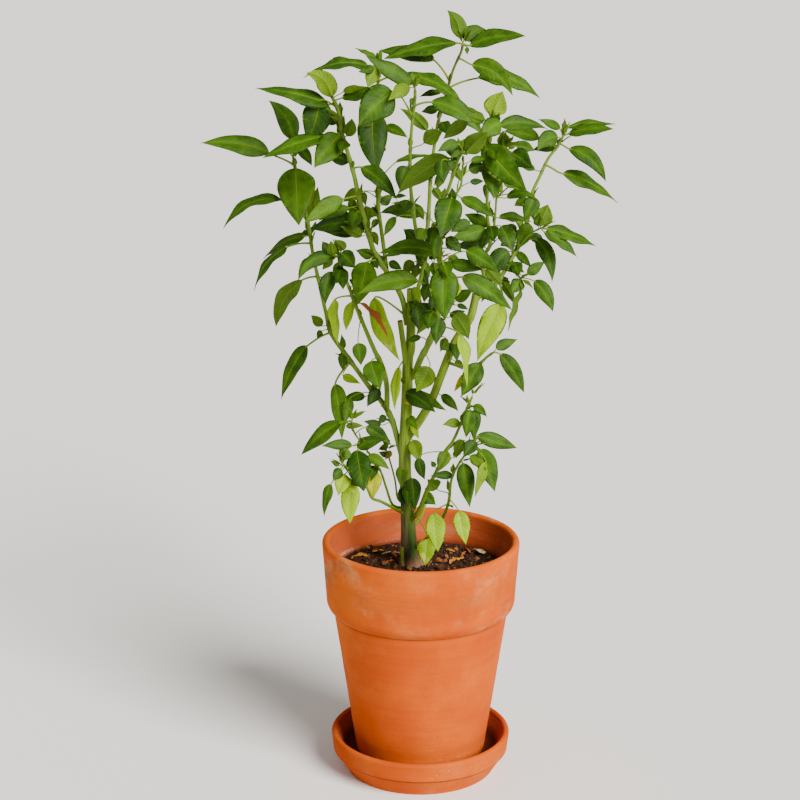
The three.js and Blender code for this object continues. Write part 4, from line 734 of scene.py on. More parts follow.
def paint_clay(name, look, wet_height):
    """Unglazed clay. Noise mixes the body's two oranges, noise squeezed along Z draws the
    throwing lines, a blotchy noise lays lime bloom over them, the band has brown stains and a
    smear where it is handled, and the inside, carried by the mesh, is damp and brown with a
    broken salt line just over wet_height. Creases, which the mesh carries too, get painted shade."""
    paint = Paint(name, Specular_IOR_Level=0.1)
    spot = paint.place()
    x, _, z = paint.parts(spot)
    inside, band, foot = paint.carried("zone")
    crease, _, _ = paint.carried("crease")
    broad = paint.noise(spot, 9.0, 5.0, 0.6)
    lines = paint.streaks(spot, (5.0, 5.0, 190.0), 4.0, 0.6)
    fine_lines = paint.streaks(spot, (14.0, 14.0, 900.0), 2.0, 0.5)
    grain = paint.noise(spot, 700.0, 3.0, 0.6)
    blotch = paint.noise(spot, 24.0, 6.0, 0.7)
    cloud = paint.noise(paint.shifted(spot, (3.0, 1.0, 2.0)), 7.0, 3.0, 0.5)
    smear = paint.streaks(spot, (12.0, 12.0, 34.0), 5.0, 0.65)

    colour = paint.mix(broad.between(0.35, 0.68), look.clay, look.clay_light)
    colour = paint.shade(colour, 0.84 + lines * 0.22 + fine_lines * 0.1)
    low = (1 - z.between(POT_FOOT, POT_FOOT + 0.11)) * (1 - foot * 0.5)
    colour = paint.mix(low * 0.4, colour, LOW_CLAY)
    sides = abs(x).between(0.02, 0.085)
    dusty = blotch.between(0.45, 0.66) * smear.between(0.4, 0.64)
    dusty = dusty * (0.12 + band * 0.3 + band * sides * 0.75 + foot * 0.35) * look.bloom_amount
    colour = paint.mix(dusty, colour, look.bloom)
    stain = smear.between(0.5, 0.68) * cloud.between(0.42, 0.6)
    stain = stain * (0.1 + band * sides * 0.7)
    colour = paint.mix(stain, colour, CLAY_STAIN)
    handled = (z - (POT_TOP - 0.043 + cloud * 0.012)).near(0.0, 0.014) * band
    colour = paint.mix(handled * (0.1 + smear.between(0.4, 0.6) * 0.32), colour, CLAY_SMEAR)
    specks = 1 - paint.cells(spot, 170.0).between(0.05, 0.13)
    specks = specks * paint.noise(spot, 16.0).between(0.52, 0.66) * (0.2 + foot * 0.8)
    colour = paint.mix(specks * 0.8, colour, CLAY_SPECK)
    pits = 1 - paint.cells(paint.shifted(spot, (1.0, 2.0, 3.0)), 210.0).between(0.04, 0.11)
    pits = pits * paint.noise(spot, 24.0).between(0.55, 0.62)
    colour = paint.mix(pits * 0.6, colour, CLAY_PIT)
    # painted shade: the creases under the pot's band and the saucer's band are darkened
    colour = paint.mix(crease * 0.75, colour, CREASE_SHADE)

    damp = paint.mix(blotch.between(0.35, 0.7), look.inner, DAMP_LIGHT)
    damp = paint.mix(smear.between(0.46, 0.66) * 0.4, damp, DAMP_BLOOM)
    damp = paint.mix(cloud.between(0.5, 0.7) * 0.4, damp, DAMP_DARK)
    salt_height = wet_height + cloud * 0.007
    salt = (z - salt_height).near(0.0, 0.003) * smear.between(0.42, 0.6) * grain.between(0.3, 0.6)
    salt = salt * (0.1 + (0 - x).between(0.0, 0.05) * 0.9)
    mud = 1 - z.between(wet_height - 0.003, wet_height + 0.004 + blotch * 0.008)
    damp = paint.mix(mud * 0.8, damp, MUD)
    damp = paint.mix(salt * 0.75, damp, SALT)
    colour = paint.mix(inside, colour, damp)

    relief = lines * 0.5 + fine_lines * 0.25 + grain * 0.3 - pits * 0.6 - specks * 0.2
    roughness = 0.84 + blotch * 0.12 - lines * 0.04
    return paint.finish(colour, roughness, relief, 0.0006)


def paint_soil(look):
    """Damp peat: dark and light browns mixed by noise at two scales, with pale fibres where a
    stretched noise peaks. Loose crumbs carry a number of their own that shifts the mix."""
    paint = Paint("potting_soil", Specular_IOR_Level=0.2)
    spot = paint.place()
    own, _, _ = paint.carried("own")
    lump = paint.noise(spot, 130.0, 4.0, 0.65)
    fine = paint.noise(spot, 900.0, 3.0, 0.7)
    fibre = paint.streaks(spot, (60.0, 900.0, 300.0), 2.0, 0.5)
    share = (lump * 0.6 + fine * 0.3 + own * 0.55 - 0.12).between(0.3, 0.85)
    colour = paint.mix(share, look.dark, look.light)
    colour = paint.mix(own.between(0.86, 0.9) * 0.75, colour, BARK_CRUMB)
    colour = paint.mix(fibre.between(0.7, 0.78) * 0.4, colour, SOIL_FIBRE)
    return paint.finish(colour, 0.8 + fine * 0.2, lump + fine * 0.5, 0.0012)


def paint_blade(look):
    """A leaf blade, drawn from what its mesh carries: blade is (across from -1 to 1, along from
    0 to 1, 1 on the upper face to -1 on the lower), tone is (yellow, dried, light), and own is
    (a number of the leaf's own, half its width in metres, its length in metres). The light tone
    is painted light and shade: it mixes the upper face from the shaded green to the sunlit green.
    The midrib runs where across is 0, and the side veins where along less a slant of |across|,
    times their number, is halfway between whole numbers. Turning leaves keep green along their
    veins."""
    paint = Paint("leaf_blade", Specular_IOR_Level=0.12, Subsurface_Weight=0.12,
                  Subsurface_Radius=(0.3, 1.0, 0.12), Subsurface_Scale=0.0012)
    across, along, face = paint.carried("blade")
    yellow, dried, light = paint.carried("tone")
    own, half_width, length = paint.carried("own")
    spot = paint.place()
    upper = face.between(-0.25, 0.25)
    side = abs(across)
    leaf_spot = paint.vector(across * half_width + own * 3.0, along * length, own * 7.0)
    mottle = paint.noise(leaf_spot, 95.0, 4.0, 0.6)
    patch = paint.noise(leaf_spot, 46.0, 3.0, 0.55)
    pores = paint.noise(spot, 1500.0, 2.0, 0.5)

    midrib = 1 - side.between(0.012, 0.085 - along * 0.045)
    glow = 1 - side.between(0.02, 0.42)
    run = along - side ** VEIN_CURVE * VEIN_SLANT + across.between(-0.01, 0.01) * VEIN_STAGGER
    run = run * VEIN_COUNT
    ridge = run.fraction().near(0.5, 0.5)
    vein = run.fraction().near(0.5, 0.11) * side.between(0.03, 0.1)
    vein = vein * (1 - side.between(0.6, 0.98)) * (1 - along.between(0.75, 0.95))

    # painted light and shade: a leaf's light tone mixes its upper face from the shaded green
    # towards the sunlit green, and shows its midrib more
    share = light * 0.55 + (mottle - 0.5) * 0.75 + (patch - 0.5) * 0.5 + glow * 0.2 + 0.1
    share = share - side.between(0.55, 1.0) * 0.08
    top = paint.mix(share.between(0.0, 1.0), look.leaf_shaded, look.leaf_sunlit)
    top = paint.mix(vein * 0.08, top, look.leaf_vein)
    top = paint.mix(midrib * (0.36 + light * 0.25), top, look.leaf_vein)
    below = paint.mix(mottle.between(0.25, 0.8) * 0.5, look.leaf_under, look.leaf_sunlit)
    below = paint.mix(vein * 0.22 + midrib * 0.6, below, look.leaf_vein)
    colour = paint.mix(upper, below, top)

    turning = yellow + (patch - 0.5) * 1.1 * yellow - vein * 0.2 - midrib * 0.1
    colour = paint.mix(turning.between(0.06, 0.5) * 0.9, colour, look.leaf_lime)
    turned = yellow + (patch - 0.5) * 0.9 - glow * 0.12
    colour = paint.mix(turned.between(0.55, 0.95) * 0.85, colour, look.leaf_yellow)
    colour = paint.mix(midrib * yellow * 0.5, colour, TURNING_MIDRIB)
    bleached = paint.noise(leaf_spot, 70.0, 2.0, 0.4).between(0.68, 0.74)
    colour = paint.mix(bleached * yellow.between(0.3, 0.5) * 0.4, colour, BLEACHED_LEAF)
    scorched = dried + (patch - 0.5) * 0.9 + along * 0.1
    colour = paint.mix(scorched.between(0.32, 0.62), colour, look.leaf_dry)
    colour = paint.mix(scorched.between(0.75, 1.2) * 0.6, colour, SCORCHED_LEAF)
    rim = side.between(0.9, 1.0) * along.between(0.06, 0.2)
    colour = paint.mix(rim * 0.42, colour, LEAF_RIM)
    colour = paint.mix(along.between(0.93, 1.0) * 0.35, colour, LEAF_TIP)

    gloss = 0.4 + mottle * 0.16 + pores * 0.06
    roughness = gloss + (1 - upper) * 0.2 + dried * 0.3
    relief = ridge * -0.12 * upper - midrib * 0.8 * upper + midrib * 0.6 * (1 - upper)
    relief = relief + vein * 0.35 * (1 - upper) - vein * 0.14 * upper + mottle * 0.3 + pores * 0.06
    return paint.finish(colour, roughness, relief, 0.0006)


def paint_stem(look):
    """Green stems and stalks. The mesh carries grain, (cosine and sine of the place round the
    stem, metres along it), and tint, (purple-brown, pale, a number of the stem's own). Noise
    stretched along the stem streaks it."""
    paint = Paint("green_stem", Specular_IOR_Level=0.2, Subsurface_Weight=0.05,
                  Subsurface_Radius=(0.4, 1.0, 0.2), Subsurface_Scale=0.001)
    turn, lean, along = paint.carried("grain")
    purple, pale, own = paint.carried("tint")
    streaks = paint.noise(paint.vector(turn * 1.6, lean * 1.6, along * 34.0 + own * 9.0), 1.7, 3.0)
    fine = paint.noise(paint.vector(turn * 5.0, lean * 5.0, along * 120.0 + own * 5.0), 2.0, 3.0)
    colour = paint.mix(streaks.between(0.32, 0.68), look.stem_green, STEM_LIGHT)
    colour = paint.mix(pale * 0.8, colour, look.stem_pale)
    dark = purple + (streaks - 0.5) * 0.8
    colour = paint.mix(dark.between(0.4, 0.95) * 0.75, colour, look.stem_purple)
    colour = paint.mix(fine.between(0.6, 0.75) * 0.25, colour, STEM_FLECK)
    return paint.finish(colour, 0.45 + fine * 0.15, streaks * 0.7 + fine * 0.3, 0.0005)


def paint_bark(look):
    """Young wood. The mesh carries grain as stems do, and wood, (relief of the ridges from -1
    to 1, 1 at the foot to 0 where the bark is green, 1 on cut faces). Grooves between the ridges
    are darkened with painted shade and crests are greyer, a green strip runs up the old bark, the
    root flare is pale, and the cut faces have rings round a dark pith."""
    paint = Paint("young_bark", Specular_IOR_Level=0.25)
    turn, lean, along = paint.carried("grain")
    ridge, age, cut = paint.carried("wood")
    _, _, z = paint.parts(paint.place())
    streaks = paint.noise(paint.vector(turn * 3.0, lean * 3.0, along * 26.0), 1.6, 4.0, 0.6)
    fine = paint.noise(paint.vector(turn * 9.0, lean * 9.0, along * 160.0), 1.6, 4.0, 0.6)
    blotch = paint.noise(paint.vector(turn, lean, along * 45.0), 2.2, 3.0)
    green = paint.mix(streaks.between(0.3, 0.7), look.bark_green, GREEN_BARK_LIGHT)
    green = paint.mix(blotch.between(0.56, 0.72) * 0.5, green, GREEN_BARK_BLOTCH)
    brown = paint.mix(streaks.between(0.35, 0.65), look.bark, BARK_SHADE)
    brown = paint.mix(fine.between(0.55, 0.75) * 0.5, brown, BARK_CREST)
    strip = turn * GREEN_STRIP[0] + lean * GREEN_STRIP[1] + (streaks - 0.5) * 0.2
    strip = strip.between(0.84, 0.97) * z.between(SOIL_TOP + 0.008, SOIL_TOP + 0.02)
    brown = paint.mix(strip * 0.9, brown, BARK_STRIP)
    colour = paint.mix(age, green, brown)
    # painted shade: the grooves between the mesh's ridges are darkened, most on aged wood
    groove = 1 - (ridge + fine * 0.3).between(-0.7, 0.25)
    colour = paint.mix(groove * (0.35 + age * 0.5), colour, BARK_GROOVE_SHADE)
    flare = 1 - z.between(SOIL_TOP + 0.003, SOIL_TOP + 0.012 + fine * 0.006)
    colour = paint.mix(flare * 0.6, colour, ROOT_FLARE)
    scars = 1 - paint.cells(paint.vector(turn, lean, along * 38.0), 5.0).between(0.05, 0.14)
    colour = paint.mix(scars * 0.5, colour, BARK_SCAR)
    end = paint.mix(fine.between(0.3, 0.7), look.cut, CUT_RING)
    colour = paint.mix(cut, colour, end)
    relief = streaks * 0.5 + fine * 0.4 + scars * 0.3
    return paint.finish(colour, 0.62 + fine * 0.2, relief, 0.0008)


def paint_litter():
    """Dead bits on the soil: each carries its own tone, from straw to rust, broken by noise."""
    paint = Paint("dry_litter", Specular_IOR_Level=0.25)
    own, _, _ = paint.carried("own")
    spot = paint.place()
    fleck = paint.noise(spot, 420.0, 4.0, 0.6)
    colour = paint.mix(own.between(0.0, 0.5), RUST, STRAW)
    colour = paint.mix(own.between(0.5, 1.0), colour, BLEACHED_STRAW)
    colour = paint.mix(fleck.between(0.52, 0.75) * 0.6, colour, LITTER_FLECK)
    return paint.finish(colour, 0.75 + fleck * 0.2, fleck, 0.0008)


def paint_floor(look):
    """Plain pale floor with the faintest mottle."""
    paint = Paint("pale_floor", Specular_IOR_Level=0.2)
    mottle = paint.noise(paint.place(), 2.0, 2.0)
    colour = paint.mix(mottle * 0.1, look.floor, FLOOR_MOTTLE)
    return paint.finish(colour, 0.7 + mottle * 0.05, mottle, 0.0002)


# ---- arrays ----


def unit(vectors):
    return vectors / np.maximum(np.linalg.norm(vectors, axis=-1, keepdims=True), 1e-12)


def dot(first, second):
    return np.sum(first * second, axis=-1, keepdims=True)


def angles_round(count):
    """Angles evenly round a circle."""
    return 2 * np.pi * np.arange(count) / count


def vectors_of(x, y, z):
    """Vectors from three arrays, each spread to the shape that they share."""
    return np.stack(np.broadcast_arrays(x, y, z), axis=-1)


def lattice_noise(points, cell, seed):
    """Smooth noise from -1 to 1: a random number at each corner of a cubic lattice, blended
    between the eight corners round a point by the smoothstep of its place among them."""
    places = np.asarray(points) / cell + 512.0
    corner = np.floor(places)
    part = places - corner
    part = part * part * (3 - 2 * part)
    total = 0.0
    for offset in np.ndindex(2, 2, 2):
        phase = (corner + offset) @ np.array([127.1, 311.7, 74.7]) + seed * 17.3
        value = np.sin(phase) * 43758.5453
        weight = np.prod(np.where(offset, part, 1 - part), axis=-1)
        total = total + weight * (2 * (value - np.floor(value)) - 1)
    return total


def place(marks):
    """Points of marks: the ray from EYE through the mark's square, as far as its depth."""
    across, down, depth = np.moveaxis(np.asarray(marks, float), -1, 0)
    rise = (SHEET_MIDDLE - down) / SHEET_DISTANCE
    ray = np.stack([
        (across - SHEET_MIDDLE) / SHEET_DISTANCE,
        math.cos(SHEET_PITCH) + rise * math.sin(SHEET_PITCH),
        rise * math.cos(SHEET_PITCH) - math.sin(SHEET_PITCH)], axis=-1)
    return EYE + ray * ((depth / 1000 - EYE[1]) / ray[..., 1])[..., None]


def spline(points, at):
    """Catmull-Rom curve through points, at places counted in points."""
    first = np.clip(np.floor(at).astype(int), 0, len(points) - 2)
    part = (at - first)[:, None]
    ends = np.concatenate([2 * points[:1] - points[1:2], points, 2 * points[-1:] - points[-2:-1]])
    a, b, c, d = (ends[first + step] for step in range(4))
    return 0.5 * (2 * b + (c - a) * part + (2 * a - 5 * b + 4 * c - d) * part**2
                  + (3 * b - a - 3 * c + d) * part**3)


def even_places(points, step):
    """Places on the curve through points that lie about step apart, and the way to each."""
    dense = np.linspace(0, len(points) - 1, 24 * len(points))
    way = np.linalg.norm(np.diff(spline(points, dense), axis=0), axis=1)
    way = np.concatenate([[0.0], np.cumsum(way)])
    wanted = np.linspace(0, way[-1], max(int(way[-1] / step), 4))
    return np.interp(wanted, way, dense), wanted


def line(first, second, count):
    """Points from the first to just short of the second."""
    share = np.arange(count)[:, None] / count
    return np.asarray(first) * (1 - share) + np.asarray(second) * share


def bend(first, control, second, count):
    """Points of a quadratic curve from the first to just short of the second."""
    share = np.arange(count)[:, None] / count
    return (np.asarray(first) * (1 - share) ** 2 + np.asarray(control) * 2 * share * (1 - share)
            + np.asarray(second) * share**2)


def arc(centre, radius, start, stop, count):
    """Points of an arc, from the start angle to just short of the stop angle."""
    angle = start + (stop - start) * np.arange(count) / count
    return np.asarray(centre) + radius * np.stack([np.cos(angle), np.sin(angle)], axis=-1)


# ---- meshes ----


class Shell(NamedTuple):
    """Points (n, 3), quads, triangles, and the vectors that the points carry, by name."""

    points: np.ndarray
    quads: np.ndarray
    triangles: np.ndarray
    carried: dict


def ring_quads(rows, ring, wrap_rows=False):
    """Quads between rows of rings; with wrap_rows the last row joins the first."""
    low = np.arange(rows if wrap_rows else rows - 1)
    high = (low + 1) % rows
    here = np.arange(ring)
    there = (here + 1) % ring
    return np.stack([
        low[:, None] * ring + here, low[:, None] * ring + there,
        high[:, None] * ring + there, high[:, None] * ring + here], axis=-1).reshape(-1, 4)


def outward(points, quads, triangles):
    """Whether the faces of each closed copy hold a positive volume, and so face outward.
    points is (copies, n, 3), and every copy has the same faces."""
    split = np.concatenate([quads[:, [0, 1, 2]], quads[:, [0, 2, 3]], triangles])
    a, b, c = (points[:, split[:, corner]] for corner in range(3))
    volume = np.sum(np.cross(a, b) * c, axis=(1, 2))
    return volume >= 0


def tubes(rings, start, stop, carried):
    """Closed shells from rings (copies, rows, ring, 3) with a pole at each end (copies, 3).
    Carried vectors are (copies, rows, ring, 3); a pole takes the mean of the ring beside it."""
    copies, rows, ring, _ = rings.shape
    body = rings.reshape(copies, rows * ring, 3)
    points = np.concatenate([body, start[:, None], stop[:, None]], axis=1)
    quads = ring_quads(rows, ring)
    here = np.arange(ring)
    there = (here + 1) % ring
    last = (rows - 1) * ring
    foot = np.stack([there, here, np.full(ring, rows * ring)], axis=-1)
    top = np.stack([last + here, last + there, np.full(ring, rows * ring + 1)], axis=-1)
    triangles = np.concatenate([foot, top])
    good = outward(points, quads, triangles)
    each = rows * ring + 2
    offset = (np.arange(copies) * each)[:, None, None]
    all_quads = np.where(good[:, None, None], quads[None], quads[None, :, ::-1]) + offset
    all_triangles = np.where(good[:, None, None], triangles[None], triangles[None, :, ::-1])
    vectors = {}
    for name, value in carried.items():
        value = np.broadcast_to(value, rings.shape)
        ends = value[:, [0, -1]].mean(axis=2)
        vectors[name] = np.concatenate(
            [value.reshape(copies, rows * ring, 3), ends], axis=1).reshape(-1, 3)
    return Shell(points.reshape(-1, 3), all_quads.reshape(-1, 4),
                 (all_triangles + offset).reshape(-1, 3), vectors)


def ring_solid(rings, carried):
    """A closed shell from rings (rows, ring, 3) whose last row joins its first."""
    rows, ring, _ = rings.shape
    points = rings.reshape(-1, 3)
    quads = ring_quads(rows, ring, wrap_rows=True)
    if not outward(points[None], quads, np.zeros((0, 3), int))[0]:
        quads = quads[:, ::-1]
    vectors = {name: np.broadcast_to(value, rings.shape).reshape(-1, 3)
               for name, value in carried.items()}
    return Shell(points, quads, np.zeros((0, 3), int), vectors)


def added(name, data):
    """A new object in the scene, at the origin."""
    thing = bpy.data.objects.new(name, data)
    bpy.context.scene.collection.objects.link(thing)
    return thing


def make_piece(name, shells, material, slot, replaced=(), smooth=True):
    """One object from shells, at the origin, riding on the body in place of CAD nodes."""
    counts = np.cumsum([0] + [len(shell.points) for shell in shells])
    points = np.concatenate([shell.points for shell in shells])
    quads = np.concatenate([s.quads + start for s, start in zip(shells, counts)])
    triangles = np.concatenate([s.triangles + start for s, start in zip(shells, counts)])
    corners = np.concatenate([quads.ravel(), triangles.ravel()])
    sizes = np.concatenate([np.full(len(quads), 4), np.full(len(triangles), 3)])
    mesh = bpy.data.meshes.new(name)
    mesh.vertices.add(len(points))
    mesh.vertices.foreach_set("co", points.astype(np.float32).ravel())
    mesh.loops.add(len(corners))
    mesh.loops.foreach_set("vertex_index", corners.astype(np.int32))
    mesh.polygons.add(len(sizes))
    starts = np.concatenate([[0], np.cumsum(sizes)[:-1]])
    mesh.polygons.foreach_set("loop_start", starts.astype(np.int32))
    mesh.polygons.foreach_set("use_smooth", np.full(len(sizes), smooth))
    mesh.update(calc_edges=True)
    for key in shells[0].carried:
        vectors = np.concatenate([shell.carried[key] for shell in shells])
        layer = mesh.attributes.new(key, "FLOAT_VECTOR", "POINT")
        layer.data.foreach_set("vector", vectors.astype(np.float32).ravel())
    mesh.materials.append(material)
    if mesh.validate(verbose=False):
        raise RuntimeError(f"{name} has faces that Blender can't hold")
    piece = added(name, mesh)
    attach(piece, BODY)
    if replaced:
        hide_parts(*replaced)
    return piece


def turned(profile, unevenness, seed):
    """Rings of a turned wall: each point (radius, height) of the profile swept round Z, with
    the radius wandering by noise that is long round the wall and short up it."""
    angle = angles_round(TURNED_SIDES)
    radius, height = profile[:, 0][:, None], profile[:, 1][:, None]
    round_wall = vectors_of(
        WANDER_RING * np.cos(angle), WANDER_RING * np.sin(angle), height * WANDER_UP)
    coarse = lattice_noise(round_wall, WANDER_CELL, seed)
    fine = lattice_noise(round_wall * [1, 1, WANDER_FINE], WANDER_CELL, seed + 1)
    wander = np.abs(coarse * 0.6 + fine * 0.4)
    wide = radius * np.ones_like(angle) - unevenness * wander * np.minimum(
        radius / WANDER_CELL, 1.0)
    return vectors_of(wide * np.cos(angle), wide * np.sin(angle), height)


# ---- pot and saucer ----


def joined(stretches):
    """An outline from its stretches, each (points, zone, crease shade), with the zone and the
    painted shade of a crease that each of its points carries."""
    outlines, zones, crease_shades = zip(*stretches)
    counts = [len(points) for points in outlines]
    zone = np.repeat(np.array(zones, float), counts, axis=0)
    crease = np.zeros_like(zone)
    crease[:, 0] = np.repeat(crease_shades, counts)
    return np.concatenate(outlines), zone, crease


def pot_profile(look):
    """Outline of the pot's wall, from the drain hole out, up the outside, over the lip and down
    the inside, with the zone of each point, (share inside, share on the band, share near the
    foot), and how much painted shade it takes for lying deep in a crease. Under the band is a
    fine groove, and over that a round corner."""
    plain, sole, band, inside = (0, 0, 0), (0, 0, 1), (0, 1, 0), (1, 0, 0)
    rim, low = look.rim_radius, POT_FOOT
    floor = low + POT_FLOOR_THICKNESS
    lip = (rim - POT_LIP, POT_TOP - POT_LIP)
    band_low = (POT_BAND_LOW_RADIUS, POT_TOP - POT_BAND_DEPTH)
    shoulder = (POT_SHOULDER_RADIUS, POT_TOP - POT_SHOULDER_DEPTH)
    below = (shoulder[0] - 0.0001, shoulder[1] - POT_GROOVE)
    groove = (shoulder[0] - POT_GROOVE, shoulder[1])
    over = (shoulder[0] + 0.0008, shoulder[1] + 0.0002)
    heel = (POT_HEEL_RADIUS, POT_TOP - POT_HEEL_DEPTH)
    inner_band = (POT_INNER_BAND_RADIUS, POT_TOP - POT_BAND_DEPTH)
    inner_shoulder = (POT_INNER_SHOULDER_RADIUS, POT_TOP - POT_INNER_SHOULDER_DEPTH)
    stretches = [
        (line((DRAIN_RADIUS, low), (POT_FOOT_RADIUS, low), 12), sole, 0),
        (bend((POT_FOOT_RADIUS, low), (POT_HEEL_RADIUS - 0.0014, low), heel, 8), sole, 0),
        (line(heel, below, 64), plain, 0),
        # these two stretches carry painted shade in the fine groove under the band
        (line(below, groove, 2), plain, 0.5),
        (line(groove, over, 2), (0, 0.5, 0), 1),
        (bend(over, (band_low[0] - 0.0004, band_low[1] - POT_BAND_UNDERCUT), band_low, 16),
         band, 0),
        (line(band_low, (rim, lip[1]), 30), band, 0),
        (arc(lip, POT_LIP, 0, np.pi, 14), band, 0),
        (line((rim - 2 * POT_LIP, lip[1]), inner_band, 30), inside, 0),
        (line(inner_band, inner_shoulder, 8), inside, 0),
        (line(inner_shoulder, (POT_INNER_FOOT_RADIUS, floor), 20), inside, 0),
        (line((POT_INNER_FOOT_RADIUS, floor), (DRAIN_RADIUS, floor), 10), inside, 0),
        (line((DRAIN_RADIUS, floor), (DRAIN_RADIUS, low), 4), inside, 0),
    ]
    profile, zone, crease = joined(stretches)
    rise = (profile[:, 1] - low) / (heel[1] - low + 0.03)
    zone[:, 2] = np.where(zone[:, 0] > 0, 0.0, np.clip(1 - rise, 0, 1))
    return profile, zone, crease


def saucer_profile():
    """Outline of the saucer, from the axis out under its foot, up the stepped wall, over the
    lip and in over its floor to the axis, with the zone of each point and the painted shade
    it takes in a crease."""
    outside, inside = (0, 0, 0.4), (1, 0, 0)
    wall = (SAUCER_BAND_LOW_RADIUS - SAUCER_STEP, SAUCER_BAND_BOTTOM - SAUCER_BAND_BEVEL / 2)
    band = (SAUCER_BAND_LOW_RADIUS, SAUCER_BAND_BOTTOM + SAUCER_BAND_BEVEL / 2)
    lip = (SAUCER_BAND_RADIUS - SAUCER_LIP, SAUCER_HEIGHT - SAUCER_LIP)
    edge = (SAUCER_FLOOR_RADIUS + SAUCER_COVE, SAUCER_FLOOR + SAUCER_COVE)
    heel = (SAUCER_FOOT_RADIUS + 0.0022, 0.0022)
    under = (band[0] - 0.0005, band[1] - 0.0003)  # where the bevel turns out to the band
    floor = (SAUCER_FLOOR_RADIUS, SAUCER_FLOOR)
    return joined([
        (line((MIDDLE_RADIUS, 0), (SAUCER_FOOT_RADIUS, 0), 10), outside, 0),
        (bend((SAUCER_FOOT_RADIUS, 0), (SAUCER_FOOT_RADIUS + 0.0016, 0), heel, 6), outside, 0),
        (line(heel, wall, 16), outside, 0),
        # the bevel under the saucer's band carries painted shade
        (bend(wall, (wall[0] + 0.0003, band[1] - 0.0006), under, 5), outside, 1),
        (bend(under, (band[0] - 0.0001, band[1] - 0.0001), band, 4), outside, 0),
        (line(band, (SAUCER_BAND_RADIUS, lip[1]), 14), outside, 0),
        (arc(lip, SAUCER_LIP, 0, np.pi, 14), outside, 0),
        (line((lip[0] - SAUCER_LIP, lip[1]), edge, 12), inside, 0),
        (bend(edge, (SAUCER_FLOOR_RADIUS + 0.6 * SAUCER_COVE, SAUCER_FLOOR), floor, 8), inside, 0),
        (line(floor, (MIDDLE_RADIUS, SAUCER_FLOOR), 14), inside, 0),
    ])


def make_pot(settings):
    profile, zone, crease = pot_profile(settings)
    rings = turned(profile, settings.unevenness, POT_SEED)
    shell = ring_solid(rings, {"zone": zone[:, None], "crease": crease[:, None]})
    material = paint_clay("pot_clay", settings, SOIL_TOP)
    return make_piece("clay_pot", [shell], material, "terracotta", ["pot"])


def make_saucer(settings):
    profile, zone, crease = saucer_profile()
    rings = turned(profile, settings.unevenness, SAUCER_SEED)
    ends = np.array([[0, 0, 0.0]]), np.array([[0, 0, SAUCER_FLOOR]])
    carried = {"zone": zone[None, :, None], "crease": crease[None, :, None]}
    shell = tubes(rings[None], *ends, carried)
    material = paint_clay("saucer_clay", settings, SAUCER_WET_HEIGHT)
    return make_piece("clay_saucer", [shell], material, "terracotta", ["saucer"])


# ---- soil ----


def soil_height(x, y, look):
    """Height of the soil: a low mound with lumps, from noise at three scales."""
    spread = vectors_of(x, y, 0.0)
    radius = np.hypot(x, y) / POT_INNER_BAND_RADIUS
    lumps = sum(share * lattice_noise(spread, cell, seed) for share, cell, seed in SOIL_LUMPS)
    return POT_TOP - look.drop + SOIL_MOUND * (1 - radius**2) + look.roughness * lumps


def make_soil_bed(look, material):
    """The soil: rings from the middle of its top out to the wall, then down it to the floor."""
    bottom = POT_FOOT + POT_FLOOR_THICKNESS + SOIL_LIFT
    edge = POT_INNER_BAND_RADIUS + SOIL_OVERLAP
    angle = angles_round(SOIL_SIDES)
    radius = edge * np.linspace(0.01, 1.0, SOIL_RINGS)[:, None] * np.ones_like(angle)
    x, y = radius * np.cos(angle), radius * np.sin(angle)
    top = vectors_of(x, y, soil_height(x, y, look))
    wall = np.array([
        (POT_INNER_BAND_RADIUS - SOIL_CLEARANCE, POT_TOP - POT_BAND_DEPTH),
        (POT_INNER_SHOULDER_RADIUS - SOIL_CLEARANCE, POT_TOP - POT_INNER_SHOULDER_DEPTH),
        (POT_INNER_FOOT_RADIUS - SOIL_CLEARANCE, bottom), (MIDDLE_RADIUS, bottom)])
    rim = vectors_of(wall[:, :1] * np.cos(angle), wall[:, :1] * np.sin(angle), wall[:, 1:])
    rings = np.concatenate([top, rim])[None]
    middle = np.array([[0, 0, soil_height(np.zeros(1), np.zeros(1), look)[0]]])
    own = np.array([0.32, 0.0, 0.0])
    shell = tubes(rings, middle, np.array([[0, 0, bottom]]), {"own": own})
    return make_piece("soil_bed", [shell], material, "soil", ["soil"])


def turns_at_random(count, rng):
    """Random rotations, as matrices (count, 3, 3), from unit quaternions."""
    w, x, y, z = unit(rng.normal(size=(count, 4))).T
    return np.stack([
        np.stack([1 - 2 * (y * y + z * z), 2 * (x * y - z * w), 2 * (x * z + y * w)], axis=-1),
        np.stack([2 * (x * y + z * w), 1 - 2 * (x * x + z * z), 2 * (y * z - x * w)], axis=-1),
        np.stack([2 * (x * z - y * w), 2 * (y * z + x * w), 1 - 2 * (x * x + y * y)], axis=-1),
    ], axis=1)


def own_numbers(numbers):
    """What each copy carries as its own: (its number, 0, 0)."""
    return vectors_of(numbers, 0.0, 0.0)[:, None, None]


